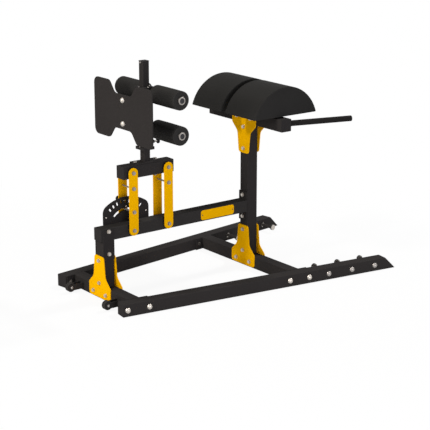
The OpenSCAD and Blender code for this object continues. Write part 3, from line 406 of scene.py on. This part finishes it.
def lathe(name, profile, axis, centre, steps, wave=None):
    """A mesh turned from (radius, distance) points round an axis. A wave may vary its radius."""
    work = bmesh.new()
    turn = Vector(axis).to_track_quat("Z", "Y").to_matrix()
    closed = profile[0] == profile[-1]
    rings = []
    for radius, along in profile[:-1] if closed else profile:
        if radius < TINY:
            rings.append([work.verts.new(turn @ Vector((0, 0, along)))])
            continue
        ring = []
        for i in range(steps):
            angle = 2 * pi * i / steps
            reach = radius + (wave(angle, along, radius) if wave else 0)
            point = Vector((reach * cos(angle), reach * sin(angle), along))
            ring.append(work.verts.new(turn @ point))
        rings.append(ring)
    if closed:
        rings.append(rings[0])
    for low, high in zip(rings, rings[1:]):
        for i in range(steps):
            j = (i + 1) % steps
            corners = [low[i % len(low)], low[j % len(low)],
                       high[j % len(high)], high[i % len(high)]]
            unique = list(dict.fromkeys(corners))
            if len(unique) > 2:
                work.faces.new(unique)
    bmesh.ops.translate(work, verts=work.verts, vec=Vector(centre))
    return finish_mesh(name, work)


def arc(centre, radius, start, end, steps):
    """Points of an arc as (radius, distance) pairs, angles in degrees from straight outward."""
    points = []
    for i in range(steps + 1):
        angle = radians(start + (end - start) * i / steps)
        points.append((centre[0] + radius * cos(angle), centre[1] + radius * sin(angle)))
    return points


def mirrored(half):
    """A closed profile from its half on the side of lower distances."""
    profile = half + [(r, -d) for r, d in reversed(half)]
    return profile + [profile[0]]


def chamfered(radius, start, end, chamfer, bore=0.0):
    """Profile of a turned part with both outer edges broken, from its start to its end."""
    points = [(bore, start), (radius - chamfer, start), (radius, start + chamfer),
              (radius, end - chamfer), (radius - chamfer, end), (bore, end)]
    return points + [points[0]] if bore else points


# Thigh pads. The arc's middle lies PAD_RISE below the pad, the backing board in a recess.
PAD_INSET = 1.0 * MM
PAD_RISE = 72.5 * MM
ARC_STEPS = 72
UNDERSIDE_STEPS = 30
ROW_PITCH = 9 * MM
BOARD_INSET = 12 * MM
RECESS_GAP = 0.3 * MM
RECESS_DRAFT = 2.2 * MM
SEAM_ROWS = (0.0, 3.0 * MM, 6.5 * MM)
SEAM_DEPTH = 0.9 * MM
SEAM_CREASE = 0.75
END_RINGS = (0.982, 0.960, 0.915, 0.86, 0.79, 0.71, 0.61, 0.49, 0.35, 0.19)
PAD_PUFF = 3.2 * MM
PAD_PRESSURE = 4.0
CLOTH_FRAMES = 20
CLOTH_SETTINGS = {"quality": 5, "mass": 0.3, "tension_stiffness": 15, "compression_stiffness": 15,
                  "shear_stiffness": 5, "bending_stiffness": 0.5}


class PadShell:
    """The cover of a half-round pad as rows of one section, closed by a panel at each end."""

    def __init__(self, node):
        low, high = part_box(node)
        board_low, board_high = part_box("pad_boards")
        self.centre = Vector(((low.x + high.x) / 2, low.y, low.z))
        self.width = high.y - low.y
        self.half = (high.x - low.x) / 2
        self.recess_half = (board_high.x - board_low.x) / 2 + RECESS_GAP
        self.recess_top = board_high.z - low.z + RECESS_GAP
        self.work = bmesh.new()
        self.pins = []
        self.seams = []
        self.build()

    def section(self):
        """Points (x, z, place): the arc, then the underside from the rear to the front."""
        radius = hypot(self.half, PAD_RISE) - PAD_INSET
        lean = asin(PAD_RISE / radius)
        points = []
        for i in range(ARC_STEPS + 1):
            angle = lean + (pi - 2 * lean) * i / ARC_STEPS
            points.append((radius * cos(angle), max(radius * sin(angle) - PAD_RISE, 0.0), "arc"))
        edge = self.recess_half + RECESS_DRAFT
        rim = (points[0][0] - edge) / 2
        under = [(-edge - rim, "rim"), (-edge, "rim")]
        for i in range(UNDERSIDE_STEPS + 1):
            under.append((self.recess_half * (2 * i / UNDERSIDE_STEPS - 1), "recess"))
        under += [(edge, "rim"), (edge + rim, "rim")]
        return points + [(x, 0.0, place) for x, place in under]

    def rows(self):
        """Distances of the rows from one end, and whether the board's recess reaches them."""
        inset = BOARD_INSET - RECESS_GAP
        rows = [(d, False) for d in SEAM_ROWS] + [(inset - RECESS_DRAFT, False), (inset, True)]
        inner = self.width - 2 * inset
        count = round(inner / ROW_PITCH)
        middle = [(inset + inner * i / count, True) for i in range(1, count)]
        return rows + middle + [(self.width - d, deep) for d, deep in reversed(rows)]

    def build(self):
        section = self.section()
        rows = self.rows()
        span = self.width - 2 * PAD_INSET
        grid = []
        for k, (distance, deep) in enumerate(rows):
            y = PAD_INSET + span * distance / self.width
            at_end = k in (0, len(rows) - 1)
            loop = []
            for x, z, place in section:
                rise = self.recess_top if deep and place == "recess" else z
                point = self.work.verts.new((x, y, rise))
                loop.append(point)
                if place != "arc" or z < FLAT or at_end:
                    self.pins.append(point)
            grid.append(loop)
        self.seams = [grid[0], grid[-1]]
        for lower, upper in zip(grid, grid[1:]):
            self.strip(lower, upper)
        for loop in self.seams:
            self.panel(loop)

    def strip(self, lower, upper):
        """Faces between two loops of points."""
        count = len(lower)
        for i in range(count):
            j = (i + 1) % count
            self.work.faces.new((lower[i], lower[j], upper[j], upper[i]))

    def panel(self, loop):
        """An end panel as rings that close on one point inside the section."""
        middle = Vector((0.0, loop[0].co.y, PAD_RISE))
        outer = loop
        for scale in END_RINGS:
            inner = [self.work.verts.new(middle + (v.co - middle) * scale) for v in loop]
            self.strip(outer, inner)
            outer = inner
        hub = self.work.verts.new(middle)
        for i in range(len(outer)):
            self.work.faces.new((outer[i], outer[(i + 1) % len(outer)], hub))


def swell(piece, pins):
    """Blows a closed cover up as cloth. Each point stays within PAD_PUFF of where it began."""
    mesh = piece.data
    rest = [v.co.copy() for v in mesh.vertices]
    group = piece.vertex_groups.new(name="sewn")
    group.add(pins, 1.0, "REPLACE")
    cloth = piece.modifiers.new("cover", "CLOTH")
    for key, value in CLOTH_SETTINGS.items():
        setattr(cloth.settings, key, value)
    cloth.settings.use_pressure = True
    cloth.settings.uniform_pressure_force = PAD_PRESSURE
    cloth.settings.vertex_group_mass = group.name
    cloth.settings.effector_weights.gravity = 0
    cloth.point_cache.frame_end = CLOTH_FRAMES
    scene = bpy.context.scene
    for number in range(1, CLOTH_FRAMES + 1):
        scene.frame_set(number)
    settled = piece.evaluated_get(bpy.context.evaluated_depsgraph_get())
    moved = [v.co.copy() for v in settled.data.vertices]
    piece.modifiers.remove(cloth)
    piece.vertex_groups.remove(group)
    scene.frame_set(1)
    for vertex, start, end in zip(mesh.vertices, rest, moved):
        step = end - start
        if step.length > TINY:
            vertex.co = start + step.normalized() * PAD_PUFF * tanh(step.length / PAD_PUFF)


def pad_mesh():
    """The near pad's cover in the shared frame, and the indexes of its fixed and sewn points."""
    shell = PadShell("near_pad")
    shell.work.verts.index_update()
    pins = [v.index for v in shell.pins]
    seams = [[v.index for v in loop[:ARC_STEPS + 1]] for loop in shell.seams]
    bmesh.ops.translate(shell.work, verts=shell.work.verts, vec=shell.centre)
    return finish_mesh("near_thigh_pad", shell.work), pins, seams


def draw_in_seams(mesh, seams, middle):
    """Pulls the sewn edges in a little, so that each reads as a line between two panels."""
    for loop in seams:
        for index in loop:
            point = mesh.vertices[index]
            inward = middle - point.co
            point.co += Vector((inward.x, 0, inward.z)).normalized() * SEAM_DEPTH
            point.co.y += SEAM_DEPTH * (1 if inward.y > 0 else -1)


def dress_pad(piece, node, seams):
    """Puts a pad in its node's place, with creased seams on a finer mesh."""
    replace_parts(piece, node)
    crease = piece.data.attributes.new("crease_edge", "FLOAT", "EDGE")
    sewn = {frozenset(pair) for loop in seams for pair in zip(loop, loop[1:])}
    for edge in piece.data.edges:
        if frozenset(edge.vertices) in sewn:
            crease.data[edge.index].value = SEAM_CREASE
    finer = piece.modifiers.new("finer", "SUBSURF")
    finer.levels = finer.render_levels = 1


def build_pads():
    """The near pad, and the far one as its mirror image."""
    mesh, pins, seams = pad_mesh()
    near = new_piece("near_thigh_pad", mesh, "vinyl", "base")
    swell(near, pins)
    low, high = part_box("near_pad")
    draw_in_seams(mesh, seams, (low + high) / 2)
    mesh.set_sharp_from_angle(angle=SHARP_ANGLE)
    other = mesh.copy()
    other.name = "far_thigh_pad"
    other.materials.clear()
    other.transform(Matrix.Scale(-1, 4, (0, 1, 0)))
    other.flip_normals()
    far = new_piece("far_thigh_pad", other, "vinyl", "base")
    dress_pad(near, "near_pad", seams)
    dress_pad(far, "far_pad", seams)


build_pads()


# Foam rollers. Their outer ends stand ROLLER_PROUD past the solids, as the photograph shows.
ROLLER_EDGE = 4.5 * MM
ROLLER_PROUD = 5 * MM
ROLLER_BORE = 16.3 * MM
ROLLER_SINK = 0.5 * MM
ROLLER_CROWN = 0.4 * MM
ROLLER_UNEVEN = 0.5 * MM
UNEVEN_ROUND = 1.3
UNEVEN_ALONG = 14
SEED_STEP = 7.3
EDGE_STEPS = 9
BARREL_STEPS = 18


def foam_roller(name, node, body, seed):
    """A turned foam sleeve with a dished end, rounded edges and a slight crown."""
    low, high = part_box(node)
    outer = (high.x - low.x) / 2
    centre = (low + high) / 2
    centre.y += ROLLER_PROUD / 2 * (1 if centre.y > 0 else -1)
    half = (high.y - low.y + ROLLER_PROUD) / 2

    def unevenness(angle, along, radius):
        place = Vector((cos(angle) * UNEVEN_ROUND, sin(angle) * UNEVEN_ROUND,
                        along * UNEVEN_ALONG + seed * SEED_STEP))
        return noise.noise(place) * ROLLER_UNEVEN * (radius / outer) ** 2

    face = [(ROLLER_BORE, 1.6 * MM), (ROLLER_BORE + 3 * MM, 1.2 * MM), (outer * 0.50, 0.3 * MM),
            (outer * 0.62, 0.0), (outer * 0.74, 0.1 * MM),
            (outer - ROLLER_EDGE - 1 * MM, 0.4 * MM)]
    end = [(r, -half + depth) for r, depth in face]
    end += arc((outer - ROLLER_EDGE, -half + ROLLER_EDGE + ROLLER_SINK), ROLLER_EDGE, -82, 0,
               EDGE_STEPS)
    barrel = []
    for i in range(1, BARREL_STEPS):
        t = 2 * i / BARREL_STEPS - 1
        crown = ROLLER_CROWN * (1 - t * t)
        barrel.append((outer + crown, t * (half - ROLLER_EDGE - ROLLER_SINK)))
    profile = end + barrel + [(r, -d) for r, d in reversed(end)]
    profile.append(profile[0])
    mesh = lathe(name, profile, (0, 1, 0), centre, steps=96, wave=unevenness)
    piece = new_piece(name, mesh, "foam", body)
    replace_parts(piece, node)


def build_rollers():
    places = [f"{level}_{side}" for level in ("upper", "lower") for side in ("near", "far")]
    for number, place in enumerate(places):
        foam_roller(f"{place}_foam_sleeve", f"{place}_roller", f"{place}_foam", number)


build_rollers()

# Roller axles
PLUG_RADIUS = 31 * MM / 2
AXLE_RADIUS = ROLLER_BORE - 0.3 * MM


def roller_axle(level):
    """One axle through both rollers, a bright collar at each end and the plug inside it."""
    low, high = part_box(f"{level}_near_roller")
    ring_low, ring_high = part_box("roller_axles")
    centre = Vector(((low.x + high.x) / 2, 0, (low.z + high.z) / 2))
    ring_r = (ring_high.x - ring_low.x) / 2
    reach = ring_high.y + ROLLER_PROUD
    roller_end = ROLLER_PROUD - low.y
    axle_end = roller_end + 0.1 * MM
    name = f"{level}_roller_axle"
    rod = chamfered(AXLE_RADIUS, -axle_end, axle_end, 0.5 * MM)
    axle = new_piece(name, lathe(name, rod, (0, 1, 0), centre, steps=48),
                     "steel", "carriage")
    ring = chamfered(ring_r, roller_end + 0.3 * MM, reach, 1.6 * MM, bore=PLUG_RADIUS)
    plug = [(0, roller_end + 0.5 * MM), (PLUG_RADIUS, roller_end + 0.5 * MM),
            (PLUG_RADIUS, reach - 1.8 * MM), (PLUG_RADIUS - 0.8 * MM, reach - 1.0 * MM),
            (PLUG_RADIUS / 2, reach - 0.4 * MM), (0, reach - 0.2 * MM)]
    for side, direction in (("near", -1), ("far", 1)):
        axis = (0, direction, 0)
        name = f"{level}_{side}_axle_collar"
        new_piece(name, lathe(name, ring, axis, centre, steps=64),
                  "zinc", "carriage")
        name = f"{level}_{side}_axle_plug"
        new_piece(name, lathe(name, plug, axis, centre, steps=48),
                  "plug", "carriage")
    return axle


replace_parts(roller_axle("upper"), "roller_axles")
roller_axle("lower")

# Pull pins
PIN_RADIUS = 5.5 * MM
KNOB_LENGTH = 11 * MM
KNOB_RIBS = 18
RIB_HEIGHT = 0.45 * MM
HOUSING_BORE = 5.6 * MM
THREAD_TURNS = 6
THREAD_START = 0.05
THREAD_SHARE = 0.40


def pin_shape(node, axis):
    """The middle of a pin's node, its length along an axis and its radius."""
    low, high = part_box(node)
    return (low + high) / 2, abs((high - low).dot(axis)), (high.z - low.z) / 2


def pull_pin(name, node, body, axis):
    """A turned pin and its moulded knob. The axis points from the nose to the knob."""
    axis = Vector(axis)
    centre, length, knob_r = pin_shape(node, axis)
    start, end = -length / 2, length / 2
    neck = end - KNOB_LENGTH
    shaft = [(0, start), (PIN_RADIUS - 2 * MM, start), (PIN_RADIUS, start + 2.4 * MM),
             (PIN_RADIUS, neck + 1 * MM), (0, neck + 1 * MM)]
    knob = [(0, neck), (PIN_RADIUS + 1.5 * MM, neck), (knob_r * 0.62, neck + 0.8 * MM)]
    knob += arc((knob_r - 3.2 * MM, neck + 4.0 * MM), 3.2 * MM, -80, 0, 5)
    knob += arc((knob_r - 3.6 * MM, end - 3.6 * MM), 3.6 * MM, 0, 80, 6)
    knob += [(knob_r * 0.5, end - 0.3 * MM), (knob_r * 0.25, end - 0.9 * MM), (0, end - 1.1 * MM)]

    def ribs(angle, along, radius):
        return RIB_HEIGHT * cos(KNOB_RIBS * angle) if radius > knob_r * 0.86 else 0

    turned = new_piece(f"{name}_shaft", lathe(f"{name}_shaft", shaft, axis, centre, steps=32),
                       "zinc", body)
    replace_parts(turned, node)
    new_piece(f"{name}_knob", lathe(f"{name}_knob", knob, axis, centre, steps=144, wave=ribs),
              "plastic", body)


def pin_housing(name, node, body, axis):
    """A threaded barrel with a plain nose, as such pins are screwed in."""
    axis = Vector(axis)
    centre, length, outer = pin_shape(node, axis)
    half = length / 2
    thread = length * THREAD_START
    profile = [(HOUSING_BORE, -half), (outer, -half), (outer, thread)]
    pitch = length * THREAD_SHARE / THREAD_TURNS
    for i in range(THREAD_TURNS):
        start = thread + pitch * i
        profile += [(outer - 0.9 * MM, start + pitch * 0.35),
                    (outer - 0.2 * MM, start + pitch * 0.85)]
    profile += [(outer - 1.2 * MM, half - 0.6 * MM), (outer - 2.4 * MM, half),
                (HOUSING_BORE, half), (HOUSING_BORE, -half)]
    piece = new_piece(name, lathe(name, profile, axis, centre, steps=48),
                      "dark_steel", body)
    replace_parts(piece, node)


pull_pin("link_pull_pin", "link_pin", "link_pull_pin", (0, 1, 0))
pull_pin("carriage_pull_pin", "carriage_pin", "carriage_pull_pin", (1, 0, 0))
pin_housing("link_pin_barrel", "link_pin_housing", "rear_links", (0, 1, 0))
pin_housing("carriage_pin_barrel", "carriage_pin_housing", "carriage", (1, 0, 0))

# Wheels. A side is (share of the radius, depth in millimetres) from the hub to the tread.
WHEEL_BORE = 4.1 * MM
WHEEL_SIDE = ((0.36, 0), (0.40, 1), (0.44, 2.6), (0.72, 2.6), (0.76, 1), (0.80, 0.3))
TREAD_EDGE = 3 * MM
TREAD_GROOVE = 0.5 * MM


def transport_wheel(name, node, body):
    """A moulded wheel with a dished web and a shallow groove round its tread."""
    low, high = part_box(node)
    centre = (low + high) / 2
    outer = (high.x - low.x) / 2
    half = (high.y - low.y) / 2
    side = [(WHEEL_BORE, -half)]
    side += [(outer * share, -half + depth * MM) for share, depth in WHEEL_SIDE]
    side += arc((outer - TREAD_EDGE, -half + TREAD_EDGE), TREAD_EDGE, -80, 0, 6)
    side += [(outer, -half * 0.5), (outer - TREAD_GROOVE, -half * 0.42)]
    mesh = lathe(name, mirrored(side), (0, 1, 0), centre, steps=64)
    piece = new_piece(name, mesh, "wheel", body)
    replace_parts(piece, node)


transport_wheel("near_transport_wheel", "near_wheel", "near_wheel_body")
transport_wheel("far_transport_wheel", "far_wheel", "far_wheel_body")

# Handle plugs and badge screws. The screw's profile is in millimetres.
HANDLE_SPLAY = radians(16)
SCREW_PROFILE = ((0, -0.2), (4, -0.2), (4, 0.6), (3.2, 1.5), (2.0, 1.9), (1.6, 1.9), (1.5, 0.8),
                 (0, 0.7))
SCREW_OFFSET = 114.5 * MM


def handle_tip(side):
    """The middle of a handle's end face, its direction and its radius."""
    low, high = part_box(f"{side}_handle")
    radius = (high.z - low.z) / 2
    sign = -1 if side == "near" else 1
    outer_y = low.y if side == "near" else high.y
    tip = Vector((high.x - radius * sin(HANDLE_SPLAY),
                  outer_y - sign * radius * cos(HANDLE_SPLAY), (low.z + high.z) / 2))
    return tip, Vector((cos(HANDLE_SPLAY), sign * sin(HANDLE_SPLAY), 0)), radius


def handle_plug(side):
    """A domed plug with its stem inside the tube."""
    tip, axis, radius = handle_tip(side)
    profile = [(0, -6 * MM), (radius * 0.8, -6 * MM), (radius * 0.8, 0.05 * MM),
               (radius - 0.2 * MM, 0.05 * MM)]
    profile += arc((radius - 3 * MM, 0.2 * MM), 2.8 * MM, 8, 84, 6)
    profile += [(radius * 0.4, 3.2 * MM), (0, 3.3 * MM)]
    name = f"{side}_handle_plug"
    new_piece(name, lathe(name, profile, axis, tip, steps=64),
              "plastic", "base")


def badge_screw(number, offset):
    low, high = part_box("badge_plate")
    place = Vector(((low.x + high.x) / 2 + offset, low.y, (low.z + high.z) / 2))
    profile = [(r * MM, d * MM) for r, d in SCREW_PROFILE]
    name = f"badge_screw_{number}"
    new_piece(name, lathe(name, profile, (0, -1, 0), place, steps=32),
              "dark_steel", "base")


handle_plug("near")
handle_plug("far")
badge_screw(1, -SCREW_OFFSET)
badge_screw(2, SCREW_OFFSET)

# Weld beads. They lie BEAD_LIFT off the handles, and their ripple repeats every three points.
BEAD_SIDES = 8
BEAD_PITCH = 1.3 * MM
BEAD_LIFT = 0.6 * MM
RIPPLE = 0.16
RIPPLE_NOISE = 0.10
RIPPLE_NOISE_SCALE = 130
HANDLE_BEAD = 2.6 * MM
ARM_BEAD = 2.4 * MM
ARM_CORNER = 5 * MM
SLEEVE_LIFT = 0.3 * MM
FOOTPLATE_THICKNESS = 8 * MM
CORNER_STEPS = 6


def weld_bead(name, path, out, radius, body):
    """A rippled bead along a closed path. Out is the direction in which the weld faces."""
    work = bmesh.new()
    count = len(path)
    out = Vector(out).normalized()
    loops = []
    for i, point in enumerate(path):
        along = (path[(i + 1) % count] - path[i - 1]).normalized()
        side = along.cross(out).normalized()
        chance = noise.noise(point * RIPPLE_NOISE_SCALE)
        ripple = 1 + RIPPLE * sin(i * 2 * pi / 3) + RIPPLE_NOISE * chance
        loop = []
        for k in range(BEAD_SIDES):
            angle = 2 * pi * k / BEAD_SIDES
            spoke = (side * cos(angle) + out * sin(angle)) * radius * ripple
            loop.append(work.verts.new(point + spoke))
        loops.append(loop)
    for i in range(count):
        low, high = loops[i], loops[(i + 1) % count]
        for k in range(BEAD_SIDES):
            m = (k + 1) % BEAD_SIDES
            work.faces.new((low[k], low[m], high[m], high[k]))
    new_piece(name, finish_mesh(name, work, sharp=False), "weld", body)


def ellipse_path(centre, right, up):
    """Points round an ellipse, a multiple of three so that the ripple closes."""
    count = max(24, round(pi * (right.length + up.length) / BEAD_PITCH / 3) * 3)
    angles = [2 * pi * i / count for i in range(count)]
    return [centre + right * cos(angle) + up * sin(angle) for angle in angles]


def square_path(centre, right, up, corner):
    """Evenly spaced points of a rounded square. Right and up reach from its middle to a side."""
    half = right.length
    right, up = right.normalized(), up.normalized()
    corners = []
    for quadrant in range(4):
        middle_x = (half - corner) * (1 if quadrant in (0, 3) else -1)
        middle_y = (half - corner) * (1 if quadrant in (0, 1) else -1)
        for i in range(CORNER_STEPS + 1):
            turn = radians(90 * quadrant + 90 * i / CORNER_STEPS)
            corners.append((middle_x + corner * cos(turn), middle_y + corner * sin(turn)))
    points = []
    for (x0, y0), (x1, y1) in zip(corners, corners[1:] + corners[:1]):
        steps = max(1, round(hypot(x1 - x0, y1 - y0) / BEAD_PITCH))
        for i in range(steps):
            t = i / steps
            points.append(centre + right * (x0 + (x1 - x0) * t) + up * (y0 + (y1 - y0) * t))
    return points


def build_welds():
    """Beads where the handles meet the crossbeam, and at both faces of the footplate's arm."""
    beam_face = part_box("pad_crossbeam")[1].x
    for side in ("near", "far"):
        tip, axis, radius = handle_tip(side)
        root = tip + axis * (beam_face - tip.x) / axis.x
        path = ellipse_path(root, Vector((0, radius / axis.x + BEAD_LIFT, 0)),
                            Vector((0, 0, radius + BEAD_LIFT)))
        weld_bead(f"{side}_handle_weld", path, (1, 0, 0), HANDLE_BEAD, "base")
    low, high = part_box("footplate_arm")
    middle_z = (low.z + high.z) / 2
    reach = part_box("sleeve")[1].y + SLEEVE_LIFT
    for name, x, out in (("arm_front_weld", high.x, (-1, 0, 0)),
                         ("arm_rear_weld", low.x + FOOTPLATE_THICKNESS, (1, 0, 0))):
        path = square_path(Vector((x, 0, middle_z)), Vector((0, reach, 0)),
                           Vector((0, 0, reach)), ARM_CORNER)
        weld_bead(name, path, out, ARM_BEAD, "carriage")


build_welds()


# Stage, light and camera
def white_to_sight(tree):
    """A factor that is 1 for camera, glossy and transmission rays, which see the plain white."""
    path = tree.nodes.new("ShaderNodeLightPath")
    total = path.outputs["Is Camera Ray"]
    for kind in ("Is Glossy Ray", "Is Transmission Ray"):
        add = tree.nodes.new("ShaderNodeMath")
        add.operation = "ADD"
        add.use_clamp = True
        tree.links.new(total, add.inputs[0])
        tree.links.new(path.outputs[kind], add.inputs[1])
        total = add.outputs[0]
    return total


def shine(tree, kind, colour, strength):
    """An emission or background node of one colour and strength."""
    made = tree.nodes.new(kind)
    made.inputs["Color"].default_value = colour
    made.inputs["Strength"].default_value = strength
    return made


def mix_into(tree, factor, first, second, out):
    """Mixes two shader nodes by a factor into a tree's output."""
    mix = tree.nodes.new("ShaderNodeMixShader")
    tree.links.new(factor, mix.inputs["Fac"])
    tree.links.new(first.outputs[0], mix.inputs[1])
    tree.links.new(second.outputs[0], mix.inputs[2])
    tree.links.new(mix.outputs[0], out.inputs["Surface"])


def stage_material(name):
    """White to sight, a pale surface to other light. Near the object some shadow stays."""
    made = bpy.data.materials.new(name)
    made.use_nodes = True
    tree = made.node_tree
    tree.nodes.clear()
    out = tree.nodes.new("ShaderNodeOutputMaterial")
    pale = tree.nodes.new("ShaderNodeBsdfDiffuse")
    pale.inputs["Color"].default_value = (FLOOR_BOUNCE, FLOOR_BOUNCE, FLOOR_BOUNCE, 1)
    glow = shine(tree, "ShaderNodeEmission", WHITE, 1.0)
    place = tree.nodes.new("ShaderNodeTexCoord")
    away = tree.nodes.new("ShaderNodeVectorMath")
    away.operation = "LENGTH"
    tree.links.new(place.outputs["Object"], away.inputs[0])
    fade = tree.nodes.new("ShaderNodeMapRange")
    fade.interpolation_type = "SMOOTHSTEP"
    for socket, value in (("From Min", SHADOW_REACH[0]), ("From Max", SHADOW_REACH[1]),
                          ("To Min", 1.0 - SHADOW_SHARE), ("To Max", 1.0)):
        fade.inputs[socket].default_value = value
    tree.links.new(away.outputs["Value"], fade.inputs["Value"])
    share = tree.nodes.new("ShaderNodeMath")
    share.operation = "MULTIPLY"
    tree.links.new(white_to_sight(tree), share.inputs[0])
    tree.links.new(fade.outputs["Result"], share.inputs[1])
    mix_into(tree, share.outputs[0], pale, glow, out)
    return made


def build_floor():
    mesh = bpy.data.meshes.new("floor")
    corners = [(x * FLOOR_REACH, y * FLOOR_REACH, 0)
               for x, y in ((-1, -1), (1, -1), (1, 1), (-1, 1))]
    mesh.from_pydata(corners, [], [(0, 1, 2, 3)])
    floor = bpy.data.objects.new("floor", mesh)
    bpy.context.scene.collection.objects.link(floor)
    floor.location.z = -FLOOR_DROP
    mesh.materials.append(stage_material("pale_floor"))


def build_world():
    """White to sight, a weak soft light to all else."""
    world = bpy.data.worlds.new("studio")
    bpy.context.scene.world = world
    world.use_nodes = True
    tree = world.node_tree
    tree.nodes.clear()
    out = tree.nodes.new("ShaderNodeOutputWorld")
    white = shine(tree, "ShaderNodeBackground", WHITE, 1.0)
    soft = shine(tree, "ShaderNodeBackground", WHITE, AMBIENT)
    mix_into(tree, white_to_sight(tree), soft, white, out)


def area_light(name, place, aim, size, power, colour):
    light = bpy.data.lights.new(name, "AREA")
    light.shape = "RECTANGLE"
    light.size, light.size_y = size
    light.energy = power
    light.color = colour
    lamp = bpy.data.objects.new(name, light)
    bpy.context.scene.collection.objects.link(lamp)
    lamp.location = place
    lamp.rotation_euler = (Vector(aim) - Vector(place)).to_track_quat("-Z", "Y").to_euler()


def build_camera():
    data = bpy.data.cameras.new("camera")
    data.lens = CAMERA_LENS
    data.sensor_width = SENSOR_WIDTH
    data.sensor_fit = "HORIZONTAL"
    camera = bpy.data.objects.new("camera", data)
    bpy.context.scene.collection.objects.link(camera)
    look = Vector((cos(CAMERA_DROP) * cos(CAMERA_HEADING),
                   cos(CAMERA_DROP) * sin(CAMERA_HEADING), -sin(CAMERA_DROP)))
    camera.location = CAMERA_TARGET - CAMERA_DISTANCE * look
    camera.rotation_euler = look.to_track_quat("-Z", "Y").to_euler()
    bpy.context.scene.camera = camera


build_floor()
build_world()
for lamp_values in LAMPS:
    area_light(*lamp_values)
build_camera()
bpy.context.scene.view_settings.view_transform = "Standard"
